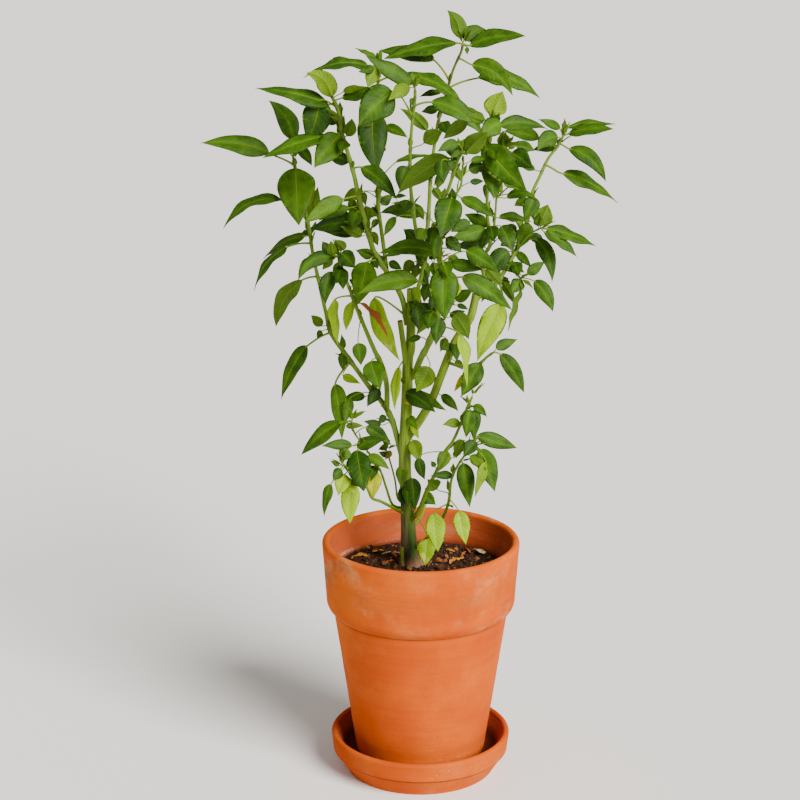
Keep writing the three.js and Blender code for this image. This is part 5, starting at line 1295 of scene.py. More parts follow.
def make_crumbs(look, material):
    """Loose crumbs: each is a hexagonal lump of two rings and two poles, its points pushed in
    and out at random, squashed, turned and part sunk in the soil."""
    rng = np.random.default_rng(CRUMB_SEED)
    count = look.crumbs
    way = 2 * np.pi * rng.random(count)
    far = (POT_INNER_BAND_RADIUS - CRUMB_MARGIN) * np.sqrt(rng.random(count))
    x, y = far * np.cos(way), far * np.sin(way)
    size = look.crumb_size * np.exp(rng.normal(0, CRUMB_SPREAD, count))
    height = soil_height(x, y, look) + size * rng.uniform(-0.1, 0.5, count)
    centre = vectors_of(x, y, height)
    around = angles_round(CRUMB_SIDES)
    lump = np.stack([
        vectors_of(0.85 * np.cos(around + turn), 0.85 * np.sin(around + turn), level)
        for turn, level in ((0.0, -0.4), (0.5, 0.4))])
    lump = lump * rng.uniform(0.7, 1.2, (count, 2, CRUMB_SIDES, 1))
    squash = rng.uniform(0.55, 1.25, (count, 1, 1, 3))
    turn = turns_at_random(count, rng)
    rings = np.einsum("cij,crkj->crki", turn, lump * squash) * size[:, None, None, None]
    poles = np.einsum("cij,j->ci", turn, UP) * (size * 0.75)[:, None] * squash[:, 0, 0, 2:]
    own = own_numbers(rng.random(count))
    shell = tubes(rings + centre[:, None, None], centre - poles, centre + poles, {"own": own})
    return make_piece("soil_crumbs", [shell], material, "soil", smooth=False)


# marks of the dead bits on the soil: (from across, from down, to across, to down, width in mm,
# tone from rust at 0 through straw to bleached at 1)
LITTER = [
    (474, 551, 484, 556, 9.0, 0.95), (449, 566, 457, 561, 4.5, 0.3),
    (456, 562, 464, 560, 5.0, 0.4), (466, 550, 470, 555, 4.0, 0.1),
    (351, 560, 363, 556, 5.5, 0.55), (356, 556, 368, 560, 4.0, 0.45),
    (372, 554, 384, 553, 4.0, 0.5), (446, 552, 455, 555, 3.0, 0.35),
    (436, 562, 442, 566, 3.5, 0.2), (392, 556, 397, 561, 3.0, 0.25),
    (426, 548, 434, 550, 3.0, 0.3), (364, 549, 370, 551, 3.5, 0.6),
    (461, 557, 466, 554, 2.5, 0.15), (385, 566, 394, 564, 3.0, 0.2),
]
LITTER_LIFTS = (0.0025, 0.0032)  # of a bit's start and stop over the soil
ROOT_MARKS = [(382, 556), (389, 554), (396, 555), (402, 557)]  # of a bare root on the soil
ROOT_LIFT = 0.0022
ROOT_RADIUS = 0.00045
ROOT_STEP = 0.0015


def on_soil(marks, look, lift):
    """Points of the soil seen through marks (across, down), raised by a lift."""
    marks = np.asarray(marks, float)
    near = place(np.concatenate([marks, np.full((len(marks), 1), -100.0)], axis=1))
    ray = near - EYE
    point = EYE + ray * ((POT_TOP - look.drop + 0.001 - EYE[2]) / ray[:, 2])[:, None]
    point[:, 2] = soil_height(point[:, 0], point[:, 1], look) + lift
    return point


def make_litter(look):
    """Dead leaf bits and bark chips, as small curled blades lying on the soil, and a bare root."""
    rng = np.random.default_rng(LITTER_SEED)
    rows = np.array(LITTER)
    start = on_soil(rows[:, 0:2], look, LITTER_LIFTS[0])
    stop = on_soil(rows[:, 2:4], look, LITTER_LIFTS[1])
    count = len(rows)
    along = np.linspace(0.02, 0.98, LITTER_ROWS)[None, :, None, None]
    across, face = blade_ring(LITTER_RING)
    across, face = across[None, None, :, None], face[None, None, :, None]
    chord = unit(stop - start)
    side = unit(np.cross(chord, UP + 0.5 * rng.normal(size=(count, 3))))
    up = np.cross(side, chord)
    width = (rows[:, 4] / 2000)[:, None, None, None] * (np.sin(np.pi * along**0.7) ** 0.6)
    width = width * rng.uniform(1.0, 1.5, (count, 1, 1, 1))
    ragged = 1 + 0.4 * np.sin(13 * along + 6.3 * rng.random((count, 1, 1, 1)) + 3 * across)
    middle = start[:, None, None] * (1 - along) + stop[:, None, None] * along
    middle = middle + UP * 0.0008 * np.sin(np.pi * along)
    bowl = width * 0.35 * across**2 * rng.uniform(-1, 1, (count, 1, 1, 1))
    crumple = np.sin(11 * along + 2 * across + 6.3 * rng.random((count, 1, 1, 1)))
    bowl = bowl + width * 0.22 * crumple
    rings = middle + side[:, None, None] * width * across * ragged + up[:, None, None] * (
        bowl + 0.0004 * face)
    bits = tubes(rings, start, stop, {"own": own_numbers(rows[:, 5])})
    path = on_soil(ROOT_MARKS, look, ROOT_LIFT)
    at, _ = even_places(path, ROOT_STEP)
    path = spline(path, at)
    root = round_tube(path[None], np.full((1, len(path), 1), ROOT_RADIUS), 6,
                      {"own": np.array([0.95, 0, 0])})
    return make_piece("soil_litter", [bits, root], paint_litter(), "soil")


# ---- stems ----


def round_tube(path, radius, sides, carried):
    """Tubes along paths (copies, rows, 3): a ring square to the path at each point, its radius
    (copies, rows, 1 or sides), starting from the axis that the path runs least along. Each
    carries its grain too: the cosine and sine round it, and the way along it."""
    along = unit(np.gradient(path, axis=1))
    straight = np.abs(unit(path[:, -1] - path[:, 0]))
    guide = np.eye(3)[np.argmin(straight, axis=1)][:, None]
    across = unit(guide - dot(guide, along) * along)
    over = np.cross(along, across)
    angle = angles_round(sides)
    radius = np.broadcast_to(radius, (*path.shape[:2], sides))[..., None]
    rings = path[:, :, None] + radius * (
        across[:, :, None] * np.cos(angle)[:, None] + over[:, :, None] * np.sin(angle)[:, None])
    step = np.linalg.norm(np.diff(path, axis=1), axis=-1)
    way = np.concatenate([np.zeros((len(path), 1)), np.cumsum(step, axis=1)], axis=1)
    grain = vectors_of(np.cos(angle), np.sin(angle), way[:, :, None])
    return tubes(rings, path[:, 0], path[:, -1], {"grain": grain, **carried})


def spread_marks(stem):
    """A stem's marks with their depths moved apart by CROWN_SPREAD."""
    marks = np.array(stem.marks, float)
    marks[:, 2] = TRUNK_BEHIND_AXIS + (marks[:, 2] - TRUNK_BEHIND_AXIS) * CROWN_SPREAD
    return marks


def radii_at(stem, at):
    """A stem's radius in metres at places counted in marks."""
    marks = np.arange(len(stem.marks))
    if len(stem.radii) != len(marks):
        marks = marks[[0, -1]]
    return np.interp(at, marks, stem.radii) / 1000


def nearest_on_stem(marks, across, down):
    """Places on a stem, counted in marks, that look nearest to marks on the sheet."""
    start, run = marks[None, :-1, :2], np.diff(marks[None, :, :2], axis=1)
    wanted = np.stack([across, down], axis=-1)[:, None]
    part = np.sum((wanted - start) * run, axis=-1) / np.sum(run**2, axis=-1)
    part = np.clip(part, 0.02, 0.98)
    gap = np.linalg.norm(start + run * part[..., None] - wanted, axis=-1)
    best = np.argmin(gap, axis=1)
    return best + part[np.arange(len(best)), best]


class Leaves(NamedTuple):
    """The leaves of a stem: an array of each of these, one row for each leaf."""

    root: np.ndarray
    base: np.ndarray
    tip: np.ndarray
    chord: np.ndarray
    side: np.ndarray
    face: np.ndarray
    lift: np.ndarray
    bow: np.ndarray
    length: np.ndarray
    width: np.ndarray
    tone: np.ndarray
    at: np.ndarray


# how far the middle of a blade bows to the right of the way from its base to its tip, in squares,
# by the mark of its base; other blades are nearly straight
BOWS = {
    (281, 200): 7, (305, 236): 2, (287, 247): 5, (336, 257): 7, (302, 280): 5, (293, 140): 5,
    (329, 105): 1, (331, 97): 4, (361, 167): -2, (500, 126): -3, (539, 139): 2, (558, 137): 4,
    (569, 149): -5, (563, 174): 0, (484, 145): 4, (507, 198): -4, (536, 239): -4, (534, 281): -3,
    (334, 272): 4, (472, 65): -6, (418, 281): 3, (424, 211): -2, (437, 253): 3, (368, 66): 5,
    (403, 75): -5, (374, 298): 4, (431, 102): -4, (478, 78): -4, (320, 100): -4, (460, 38): 5,
    (464, 40): -3, (457, 43): -2,
}


def lay_out_leaves(stem):
    """Places a stem's leaves. A blade lies on its chord from base to tip and is turned about it
    until it looks as wide as its row says, with its upper face towards the lift, which leans up
    and away from the stem."""
    marks = spread_marks(stem)
    rows = np.array([row[:6] for row in stem.leaves], float)
    tone = np.array([row[6] for row in stem.leaves], float)
    springs = np.array([row[7:9] if len(row) > 7 else row[:2] for row in stem.leaves], float)
    at = nearest_on_stem(marks, springs[:, 0], springs[:, 1])
    low = np.floor(at).astype(int)
    part = (at - low)[:, None]
    on_sheet = marks[low] * (1 - part) + marks[low + 1] * part
    root = spline(place(marks), at)
    stalk_span = np.hypot(*(rows[:, 0:2] - on_sheet[:, :2]).T)
    blade_span = np.hypot(*(rows[:, 2:4] - rows[:, 0:2]).T)
    reach, seen = rows[:, 5], rows[:, 4]
    base_depth = on_sheet[:, 2] + reach * stalk_span / (stalk_span + blade_span)
    base = place(np.column_stack([rows[:, 0:2], base_depth]))
    tip = place(np.column_stack([rows[:, 2:4], on_sheet[:, 2] + reach]))

    length = np.linalg.norm(tip - base, axis=-1, keepdims=True)
    chord = (tip - base) / length
    sight = (base + tip) / 2 - EYE
    distance = np.linalg.norm(sight, axis=-1, keepdims=True)
    across_sight = unit(np.cross(chord, sight))
    in_depth = unit(np.cross(chord, across_sight))
    outward_way = (base + tip) / 2 - root
    outward_way[:, 2] = 0
    lift = UP + LIFT_LEAN * unit(outward_way)
    lift = unit(lift - dot(lift, chord) * chord)
    shown = seen[:, None] * distance / SHEET_DISTANCE * FULLNESS
    width = np.maximum(shown, LEAST_WIDTH * length)
    cosine = np.minimum(shown / width, 1)
    sine = np.sqrt(1 - cosine**2)
    first = across_sight * cosine + in_depth * sine
    second = across_sight * cosine - in_depth * sine
    first_face, second_face = np.cross(chord, first), np.cross(chord, second)
    better = np.abs(dot(second_face, lift)) > np.abs(dot(first_face, lift))
    side = np.where(better, second, first)
    face = np.where(better, second_face, first_face)
    flip = np.where(dot(face, lift) < 0, -1.0, 1.0)
    squares = np.array([BOWS.get(tuple(row[:2]), 0) for row in stem.leaves], float)[:, None]
    bow = across_sight * squares * distance / -SHEET_DISTANCE
    return Leaves(
        root, base, tip, chord, side * flip, face * flip, lift, bow, length, width, tone, at)


def stem_shells(stem, leaves, purple_foot, purple_top):
    """The stem's own tube, which swells where leaves spring, and a stalk for each leaf."""
    points = place(spread_marks(stem))
    at, way = even_places(points, STEM_STEP)
    path = spline(points, at)
    joints = np.interp(leaves.at, at, way)
    swelling = np.exp(-((way[:, None] - joints) / JOINT_LENGTH) ** 2)
    swelling = np.minimum(swelling.sum(axis=1), 1.2)
    radius = radii_at(stem, at) * (1 + 0.2 * swelling)
    rounded = np.sqrt(np.clip((way[-1] - way) / TIP_ROUNDING, 0, 1)) * 0.75 + 0.25
    radius = (radius * rounded)[:, None]
    angle = angles_round(STEM_SIDES)
    flutes = 1 + 0.05 * np.sin(4 * angle + way[:, None] * 22)
    share = way / way[-1]
    tint = np.zeros((1, len(at), STEM_SIDES, 3))
    tint[0, :, :, 0] = (purple_foot + (purple_top - purple_foot) * share
                        + 0.45 * np.clip(swelling, 0, 1))[:, None]
    tint[0, :, :, 1] = 0.12
    tint[0, :, :, 2] = points[0, 0] * 10 % 1.0
    shell = round_tube(path[None], (radius * flutes)[None], STEM_SIDES, {"tint": tint})
    return [shell, petioles(leaves)]


def petioles(leaves):
    """Leaf stalks: cubic curves that leave the stem outward and up and run into the midrib,
    thickest at the stem."""
    share = np.linspace(0, 1, PETIOLE_ROWS)[None, :, None]
    root, base = leaves.root[:, None], leaves.base[:, None]
    span = np.linalg.norm(base - root, axis=-1, keepdims=True)
    leave = root + (base - root) * 0.38 + UP * span * 0.11
    start_way = unit(leaves.chord + leaves.lift * 0.55)[:, None]
    arrive = base - start_way * span * 0.25
    inside = base + start_way * np.minimum(leaves.length, 0.05)[:, None] * 0.05
    path = (root * (1 - share) ** 3 + leave * 3 * share * (1 - share) ** 2
            + arrive * 3 * share**2 * (1 - share) + inside * share**3)
    thick = look_of("plant").petiole_radius * np.clip(leaves.length / 0.05, 0.6, 1.15)[:, None]
    radius = thick * (1 + 0.45 * np.exp(-share * 9) - 0.12 * share)
    tint = np.zeros((len(leaves.root), PETIOLE_ROWS, PETIOLE_SIDES, 3))
    tint[..., 0] = 0.25 * np.exp(-share * 8)
    tint[..., 1] = 0.55 + 0.45 * leaves.tone[:, :1][:, None]
    tint[..., 2] = leaves.at[:, None, None] * 0.37 % 1.0
    return round_tube(path, radius, PETIOLE_SIDES, {"tint": tint})


# ---- leaf blades ----


def blade_ring(count):
    """Places round a blade's section: across it from 1 to -1 over the upper face and back under
    it, closer together near the midrib, and the face: 1 above, -1 below, 0 on the edges."""
    turn = np.arange(count) / count
    across = 1 - 4 * np.minimum(turn, 1 - turn)
    face = np.where(turn < 0.5, 1.0, -1.0)
    face[np.abs(across) > 1 - 1e-9] = 0.0
    return np.sign(across) * np.abs(across) ** 1.25, face


def blade_shells(leaves, look, seed):
    """Blades, as functions of the share along the midrib, s, and across, v from -1 to 1.

    The midrib is its chord plus a parabola, s(1-s)(1.25-0.5s), along the lift, and another,
    4s(1-s), along its bow. The half width is s^p (1-s)^q over its own greatest value. Each half
    rises from the midrib by the fold times |v|, bends down by the curl times v^2, waves near its
    edge with s, and ripples with the side veins. The frame turns with the midrib, and twists a
    little along it.
    """
    rng = np.random.default_rng(seed)
    count = len(leaves.length)

    def draw(low, high):
        return rng.uniform(low, high, (count, 1, 1, 1))

    s = ((1 - np.cos(np.pi * (np.arange(BLADE_ROWS) + 0.6) / (BLADE_ROWS + 0.2))) / 2)
    s = s[None, :, None, None]
    v, face_sign = blade_ring(BLADE_RING)
    v, face_sign = v[None, None, :, None], face_sign[None, None, :, None]
    base, chord, side, face, lift, bow, length, width = (array[:, None, None] for array in (
        leaves.base, leaves.chord, leaves.side, leaves.face, leaves.lift, leaves.bow,
        leaves.length, leaves.width))
    withered = np.maximum(leaves.tone[:, 1], 0.35 * leaves.tone[:, 0])[:, None, None, None]

    level = np.sqrt(1 - chord[..., 2:] ** 2)
    arch = length * BLADE_ARCH * (0.35 + 0.65 * level) * 4
    sickle = draw(-0.035, 0.035) * length * 4
    across_way = side * sickle + 4 * bow
    middle = (base + chord * length * s + lift * arch * s * (1 - s) * (1.25 - 0.5 * s)
              + across_way * s * (1 - s))
    along = unit(chord * length + lift * arch * (1.25 - 3.5 * s + 1.5 * s**2)
                 + across_way * (1 - 2 * s))
    axis = np.cross(chord, along)
    turned_by = 1 + dot(chord, along)
    side = side + np.cross(axis, side) + np.cross(axis, np.cross(axis, side)) / turned_by
    face = face + np.cross(axis, face) + np.cross(axis, np.cross(axis, face)) / turned_by
    twist = draw(-0.5, 0.5) * (s - 0.25)
    side, face = (side * np.cos(twist) + face * np.sin(twist),
                  face * np.cos(twist) - side * np.sin(twist))

    p, q = draw(0.56, 0.7), draw(1.08, 1.36)
    peak = p / (p + q)
    half = width / 2 * (s / peak) ** p * ((1 - s) / (1 - peak)) ** q
    half = half * (1 + draw(-0.07, 0.07) * v) * (1 - 0.12 * withered)
    size = np.abs(v)
    fold = look.fold * draw(0.8, 1.2) + 0.5 * withered
    rise = fold * (np.sqrt(v**2 + 0.012) - math.sqrt(0.012))
    rise = rise - look.curl * draw(0.7, 1.4) * v**2
    edge = size**2.2 * np.sin(2 * np.pi * (draw(1.4, 2.6) * s + draw(0, 1) + 0.3 * (v > 0)))
    rise = rise + look.wave * (draw(0.5, 1.3) + 1.2 * withered) * edge
    run = (s - VEIN_SLANT * size**VEIN_CURVE + VEIN_STAGGER * (v > 0)) * VEIN_COUNT
    ripple = np.sin(np.pi * run) ** 2 - 0.5
    rise = rise + (look.pucker + 0.06 * withered) * ripple * 4 * size * (1 - size)
    rib = np.exp(-((v * half) / RIB_WIDTH) ** 2) * (1 - s) ** 0.5
    skin = look.blade_thickness / 2 * (1 - size**3)
    depth = skin + np.where(face_sign < 0, RIB_HEIGHT * rib, 0.0)
    rings = middle + side * half * v + face * (half * rise + face_sign * depth)

    blade = vectors_of(v[..., 0], s[..., 0], face_sign[..., 0])
    drift = rng.uniform(-0.12, 0.12, leaves.tone.shape) * [0.5, 0.3, 1]
    tone = np.clip(leaves.tone + drift, 0, 1)
    own = np.concatenate([rng.random((count, 1)), leaves.width / 2, leaves.length], axis=1)
    carried = {
        "blade": np.broadcast_to(blade, rings.shape),
        "tone": tone[:, None, None], "own": own[:, None, None]}
    return tubes(rings, leaves.base, leaves.tip, carried)


# ---- buds and young leaves ----


def bud_leaves(stem, leaves, rng):
    """Pairs of very young leaves in the joints where leaves spring, and at the stem's tip."""
    marks = spread_marks(stem)
    points = place(marks)
    chosen = leaves.at[rng.random(len(leaves.at)) < BUD_SHARE]
    at = np.concatenate([chosen, np.full(BUDS_AT_TIP, len(points) - 1.001)])
    root = spline(points, at)
    count = len(at)
    beyond = np.minimum(at + 0.05, len(points) - 1)
    ahead = unit(spline(points, beyond) - spline(points, at - 0.05))
    way = unit(ahead * 0.9 + rng.normal(0, 0.6, (count, 3)) + UP * 0.35)
    length = rng.uniform(*BUD_LENGTHS, (count, 1))
    base = root + way * BUD_STALK
    tip = base + way * length
    lift = unit(UP - dot(UP, way) * way + 1e-6)
    side = unit(np.cross(way, lift))
    face = np.cross(side, way)
    tone = np.tile(YOUNG, (count, 1))
    straight = np.zeros_like(way)
    return Leaves(
        root, base, tip, way, side, face, lift, straight, length, length * BUD_WIDTH, tone, at)


# ---- trunk ----


def wood_shell(stem, under=0.0, aged=0.0):
    """A woody stem, which can run on under its lowest mark. Its radius is swollen and grooved
    by noise that is short round the wood and long along it, most of all at the foot of aged
    wood, which flares, and it ends in a flat, weathered cut."""
    points = place(spread_marks(stem))
    radii = radii_at(stem, np.arange(len(points)))
    if under:
        foot = points[:1] - UP * under
        points, radii = np.concatenate([foot, points]), np.concatenate([radii[:1], radii])
    at, way = even_places(points, TRUNK_STEP)
    path = spline(points, at)
    radius = np.interp(at, np.arange(len(points)), radii)
    angle = angles_round(TRUNK_SIDES)
    skin = vectors_of(np.cos(angle), np.sin(angle), way[:, None] * WOOD_UP)
    coarse = lattice_noise(skin, WOOD_CELL, 5)
    fine = lattice_noise(skin * [1, 1, 1.6], WOOD_FINE_CELL, 6)
    ridge = coarse * 0.7 + fine * 0.4
    above = (way - under)[:, None]
    age = aged * np.clip(1.25 - above / AGED_HEIGHT, 0, 1)
    depth = 0.045 + 0.12 * age
    flare = 0.5 * aged * np.exp(-np.clip(above, -0.004, None) / FLARE_HEIGHT)
    lobes = 1 + 0.35 * np.sin(4 * angle + 1.0) + 0.2 * np.sin(7 * angle)
    wide = radius[:, None] * (1 + depth * ridge + flare * lobes)
    cut_way = unit(path[-1:] - path[-3:-2])
    path = np.concatenate([path, *(path[-1:] + cut_way * out for out, _ in WOOD_CUT)])
    wide = np.concatenate([wide, *(wide[-1:] * size for _, size in WOOD_CUT)])
    pad = np.zeros((len(WOOD_CUT), TRUNK_SIDES))
    wood = np.stack([
        np.concatenate([ridge, pad]), np.concatenate([age * np.ones_like(angle), pad]),
        np.concatenate([np.zeros_like(ridge), pad + 1])], axis=-1)
    return round_tube(path[None], wide[None], TRUNK_SIDES, {"wood": wood[None]})


def make_trunk(look, blade_material, stem_material):
    """The pruned trunk with its limb, stub and short shoot, the stump beside its foot, and the
    leaves they carry."""
    bark = paint_bark(look)
    main, limb, stub, shoot = TRUNK_STEMS
    wood = [wood_shell(main, TRUNK_UNDER, aged=1.0), wood_shell(limb), wood_shell(stub),
            wood_shell(STUMP, STUMP_UNDER)]
    make_piece("trunk_wood", wood, bark, "trunk", ["trunk"])
    carried = [stem for stem in TRUNK_STEMS if stem.leaves]
    leaves = [lay_out_leaves(stem) for stem in carried]
    stalks = [petioles(group) for group in leaves[:2]]
    stalks += stem_shells(shoot, leaves[2], *SHOOT_PURPLE)
    make_piece("trunk_stalks", stalks, stem_material, "trunk")
    blades = [blade_shells(group, look, TRUNK_BLADE_SEED + index)
              for index, group in enumerate(leaves)]
    return make_piece("trunk_leaves", blades, blade_material, "leaf")


PALE_NODES = ("shoot_right_pale", "shoot_left_small")
# how purple-brown a green stem is at its foot and at its top
STEM_PURPLE = {
    "stem_tallest": (0.0, 0.75), "stem_far_right": (0.1, 0.3), "stem_middle": (0.0, 0.45),
    "stem_middle_back": (0.0, 0.5), "shoot_left_small": (0.6, 0.8),
    "stem_left_middle": (0.0, 0.35), "shoot_left_middle": (0.3, 0.6),
    "stem_right_front": (0.15, 0.35),
}
OTHER_PURPLE = (0.1, 0.25)
SHOOT_PURPLE = (0.2, 0.5)  # of the trunk's short shoot


# leaves inside the crown, on a node's first stem, that the CAD frame leaves out: small ones, and
# ones that point towards or away from EYE; most take the dark tone, painted shade of the crown's
# inside
INNER_LEAVES = {
    "stem_front": [
        (438, 232, 434, 262, 9, -5, DARK_SHADED, 441, 225), (446, 238, 462, 252, 12, -8, DARK_SHADED, 440, 240),
        (434, 316, 416, 336, 10, 8, DARK_SHADED, 437, 308), (445, 172, 437, 190, 9, 8, DARK_SHADED, 453, 175),
        (452, 166, 461, 182, 8, 8, GREEN, 455, 170), (448, 208, 458, 222, 9, 6, DARK_SHADED, 443, 202),
        (443, 290, 455, 306, 9, 10, DARK_SHADED, 439, 284), (446, 338, 440, 352, 8, 6, DARK_SHADED, 430, 338),
        (444, 262, 448, 278, 14, -26, GREEN), (436, 258, 432, 252, 13, 25, DARK_SHADED),
        (436, 228, 430, 244, 13, -25, GREEN), (445, 222, 449, 215, 12, 24, DARK_SHADED),
        (442, 294, 447, 288, 12, 25, DARK_SHADED), (433, 312, 428, 330, 13, -24, DARK_SHADED)],
    "stem_tallest": [
        (427, 262, 423, 290, 9, 8, DARK_SHADED, 425, 258), (433, 262, 438, 282, 9, 10, GREEN, 426, 254),
        (433, 188, 441, 202, 8, 8, DARK_SHADED, 430, 182), (433, 222, 438, 236, 8, 6, DARK_SHADED, 428, 216),
        (430, 232, 434, 248, 13, -25, DARK_SHADED), (422, 266, 417, 260, 12, 25, DARK_SHADED),
        (418, 296, 412, 312, 12, -24, DARK_SHADED), (441, 122, 446, 134, 12, -23, DARK_SHADED)],
    "stem_middle": [
        (406, 210, 380, 213, 9, 9, DARK_SHADED, 413, 206), (416, 208, 424, 220, 8, 8, DARK_SHADED),
        (408, 200, 404, 214, 12, -24, DARK_SHADED), (419, 236, 424, 230, 12, 24, DARK_SHADED),
        (420, 246, 426, 262, 12, -23, GREEN)],
    "stem_middle_back": [
        (381, 128, 384, 122, 13, 26, DARK_SHADED), (376, 100, 372, 95, 13, 25, DARK_SHADED),
        (380, 150, 384, 144, 12, 26, DARK_SHADED), (376, 216, 371, 210, 12, 26, DARK_SHADED)],
    "stem_left_middle": [
        (366, 206, 366, 226, 10, 8, DARK_SHADED), (354, 200, 349, 214, 9, 6, DARK_SHADED),
        (371, 232, 378, 246, 8, 8, DARK_SHADED), (357, 212, 352, 228, 14, -26, DARK_SHADED),
        (364, 224, 360, 216, 13, 26, DARK_SHADED), (378, 262, 383, 256, 12, 25, DARK_SHADED),
        (346, 140, 341, 152, 12, -25, GREEN), (337, 124, 332, 116, 12, 25, DARK_SHADED)],
    "stem_left_front": [
        (338, 262, 336, 284, 9, 8, DARK_SHADED), (332, 258, 322, 270, 8, 6, GREEN),
        (342, 268, 337, 284, 13, -25, DARK_SHADED), (353, 286, 357, 280, 11, 24, DARK_SHADED)],
    "stem_far_left": [
        (321, 262, 326, 256, 12, 24, DARK_SHADED), (308, 236, 304, 230, 12, 23, DARK_SHADED)],
    "stem_right_front": [
        (486, 268, 503, 286, 11, 9, DARK_SHADED), (493, 180, 503, 194, 9, 8, DARK_SHADED, 488, 190),
        (486, 258, 473, 272, 9, 6, DARK_SHADED), (491, 150, 504, 158, 8, 8, DARK_SHADED),
        (490, 226, 494, 242, 13, -25, DARK_SHADED), (484, 212, 479, 206, 12, 25, DARK_SHADED),
        (487, 262, 492, 256, 12, 25, DARK_SHADED), (492, 148, 496, 162, 13, -25, GREEN),
        (486, 170, 481, 164, 12, 24, DARK_SHADED)],
    "stem_far_right": [
        (503, 282, 514, 304, 9, 8, DARK_SHADED), (512, 240, 500, 246, 8, 6, DARK_SHADED, 519, 246),
        (528, 200, 514, 206, 9, 8, DARK_SHADED), (530, 236, 546, 246, 9, 6, DARK_SHADED, 523, 232),
        (514, 262, 519, 276, 12, -24, DARK_SHADED), (520, 236, 514, 230, 12, 24, DARK_SHADED),
        (529, 206, 524, 200, 11, 24, DARK_SHADED), (503, 284, 508, 278, 12, 24, DARK_SHADED)],
}


def stems_of(node):
    """The stems of a CAD node, the first with its small inner leaves too."""
    first, *others = LEAFY_STEMS[node]
    return [first._replace(leaves=first.leaves + INNER_LEAVES.get(node, [])), *others]


def leaf_slot(node):
    return "pale_leaf" if node in PALE_NODES else "leaf"


def make_stems(node, material):
    """One piece for the green stems and stalks of a CAD node."""
    shells = []
    for stem in stems_of(node):
        shells += stem_shells(stem, lay_out_leaves(stem), *STEM_PURPLE.get(node, OTHER_PURPLE))
    return make_piece(f"{node}_wood", shells, material, leaf_slot(node), [node])


def make_blades(node, look, material, seed):
    """One piece for the leaf blades and very young leaves of a CAD node."""
    rng = np.random.default_rng(seed)
    shells = []
    for index, stem in enumerate(stems_of(node)):
        leaves = lay_out_leaves(stem)
        shells.append(blade_shells(leaves, look, seed * 10 + index))
        shells.append(blade_shells(bud_leaves(stem, leaves, rng), look, seed * 10 + index + 5))
    return make_piece(f"{node}_leaves", shells, material, leaf_slot(node), [node])


# ---- stage ----


def make_floor(look):
    half = FLOOR_HALF_WIDTH
    corners = [(-half, -half, 0), (half, -half, 0), (half, half, 0), (-half, half, 0)]
    mesh = bpy.data.meshes.new("floor")
    mesh.from_pydata(corners, [], [(0, 1, 2, 3)])
    mesh.materials.append(paint_floor(look))
    added("floor", mesh)


def make_light(name, data, spot, aim):
    """A lamp at a spot, turned to shine at a point."""
    light = added(name, data)
    way = np.asarray(aim, float) - np.asarray(spot, float)
    flat = math.hypot(way[0], way[1])
    light.location = spot
    light.rotation_euler = (math.atan2(flat, -way[2]), 0, math.atan2(-way[0], way[1]))


def make_lights(look):
    """A broad light like a window's from the front right, a softer one from the left, and even
    light from all round."""
    world = bpy.data.worlds.new("studio")
    world.use_nodes = True
    background = world.node_tree.nodes["Background"]
    background.inputs["Color"].default_value = (*WARM_WHITE, 1.0)
    background.inputs["Strength"].default_value = look.sky
    bpy.context.scene.world = world
    key = bpy.data.lights.new("key", "SUN")
    key.energy, key.angle, key.color = look.key_strength, look.key_breadth, WARM_WHITE
    make_light("key", key, KEY_SPOT, KEY_AIM)
    fill = bpy.data.lights.new("fill", "AREA")
    fill.size, fill.energy, fill.color = FILL_SIZE, look.fill_power, SOFT_WHITE
    make_light("fill", fill, FILL_SPOT, FILL_AIM)


def make_camera(look):
    data = bpy.data.cameras.new("camera")
    data.lens = look.lens
    data.sensor_width = SENSOR_WIDTH
    camera = added("camera", data)
    camera.location = EYE
    camera.rotation_euler = (math.pi / 2 - SHEET_PITCH, 0, 0)
    bpy.context.scene.camera = camera


# ---- add-on ----


def look_of(group):
    return getattr(bpy.context.scene, f"chilli_{group}")


def shared_paint(name, painter):
    """A material that several pieces share, painted when the first of them asks for it."""
    return bpy.data.materials.get(name) or painter(look_of("plant"))


class CHILLI_OT_pot(bpy.types.Operator):
    """Turn the terracotta pot"""

    bl_idname = "chilli.pot"
    bl_label = "Pot"

    def execute(self, context):
        make_pot(look_of("pot"))
        return {"FINISHED"}


class CHILLI_OT_saucer(bpy.types.Operator):
    """Turn the saucer that the pot stands in"""

    bl_idname = "chilli.saucer"
    bl_label = "Saucer"

    def execute(self, context):
        make_saucer(look_of("pot"))
        return {"FINISHED"}


class CHILLI_OT_soil(bpy.types.Operator):
    """Fill the pot with soil, crumbs and dead bits"""

    bl_idname = "chilli.soil"
    bl_label = "Soil"

    def execute(self, context):
        look = look_of("soil")
        material = paint_soil(look)
        make_soil_bed(look, material)
        make_crumbs(look, material)
        make_litter(look)
        return {"FINISHED"}


class CHILLI_OT_trunk(bpy.types.Operator):
    """Grow the pruned trunk, its limb, stub and short shoot"""

    bl_idname = "chilli.trunk"
    bl_label = "Trunk"

    def execute(self, context):
        make_trunk(look_of("plant"), shared_paint("leaf_blade", paint_blade),
                   shared_paint("green_stem", paint_stem))
        return {"FINISHED"}


class CHILLI_OT_stems(bpy.types.Operator):
    """Grow the green stems and the leaf stalks"""

    bl_idname = "chilli.stems"
    bl_label = "Stems"

    def execute(self, context):
        material = shared_paint("green_stem", paint_stem)
        for node in LEAFY_STEMS:
            make_stems(node, material)
        return {"FINISHED"}


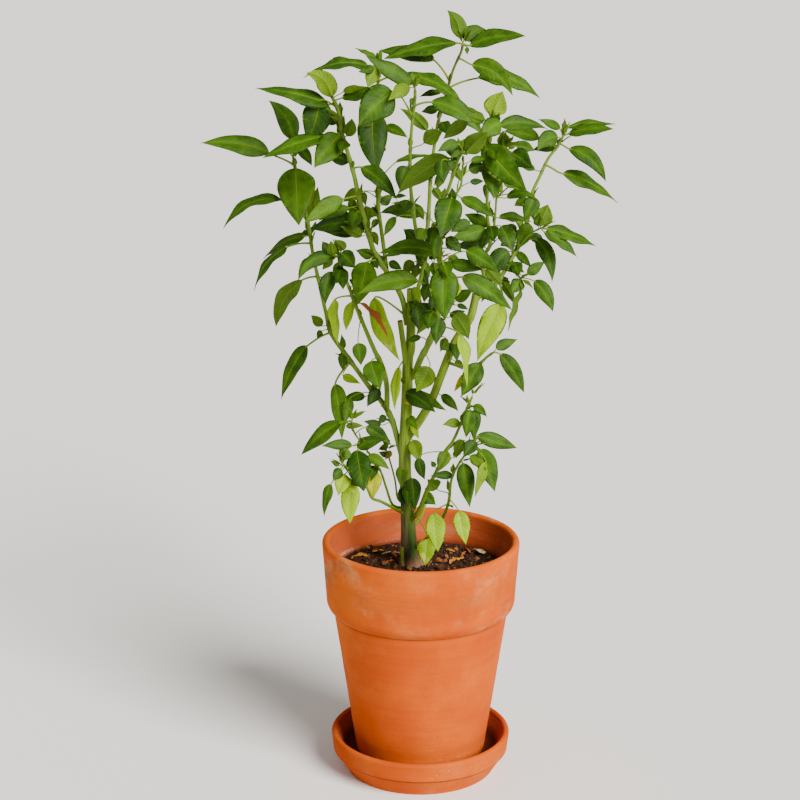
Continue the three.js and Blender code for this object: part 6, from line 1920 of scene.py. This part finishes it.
class CHILLI_OT_leaves(bpy.types.Operator):
    """Grow the leaf blades"""

    bl_idname = "chilli.leaves"
    bl_label = "Leaves"

    def execute(self, context):
        material = shared_paint("leaf_blade", paint_blade)
        for index, node in enumerate(LEAFY_STEMS):
            make_blades(node, look_of("plant"), material, BLADE_SEED + index)
        return {"FINISHED"}


class CHILLI_OT_stage(bpy.types.Operator):
    """Set up the floor, the lights and the camera"""

    bl_idname = "chilli.stage"
    bl_label = "Stage"

    def execute(self, context):
        look = look_of("stage")
        make_floor(look)
        make_lights(look)
        make_camera(look)
        return {"FINISHED"}


class CHILLI_PT_pieces(bpy.types.Panel):
    """Lists the pieces of the potted chilli plant"""

    bl_label = "Potted Chilli Plant"
    bl_space_type = "VIEW_3D"
    bl_region_type = "UI"
    bl_category = "Chilli Plant"

    def draw(self, context):
        for group in SETTINGS:
            settings = getattr(context.scene, f"chilli_{group}")
            box = self.layout.box()
            box.label(text=group.capitalize())
            for name in settings.__annotations__:
                box.prop(settings, name)
        for operator in OPERATORS:
            self.layout.operator(operator.bl_idname)


SETTINGS = {
    "pot": ChilliPotSettings, "soil": ChilliSoilSettings, "plant": ChilliPlantSettings,
    "stage": ChilliStageSettings,
}
OPERATORS = (
    CHILLI_OT_pot, CHILLI_OT_saucer, CHILLI_OT_soil, CHILLI_OT_trunk, CHILLI_OT_stems,
    CHILLI_OT_leaves, CHILLI_OT_stage,
)
CLASSES = (*SETTINGS.values(), *OPERATORS, CHILLI_PT_pieces)


def register():
    for cls in CLASSES:
        bpy.utils.register_class(cls)
    for group, settings in SETTINGS.items():
        setattr(bpy.types.Scene, f"chilli_{group}", bpy.props.PointerProperty(type=settings))


def unregister():
    for group in SETTINGS:
        delattr(bpy.types.Scene, f"chilli_{group}")
    for cls in reversed(CLASSES):
        bpy.utils.unregister_class(cls)


def main():
    register()
    bpy.ops.chilli.pot()
    bpy.ops.chilli.saucer()
    bpy.ops.chilli.soil()
    bpy.ops.chilli.trunk()
    bpy.ops.chilli.stems()
    bpy.ops.chilli.leaves()
    bpy.ops.chilli.stage()
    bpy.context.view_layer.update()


if __name__ == "__main__":
    main()
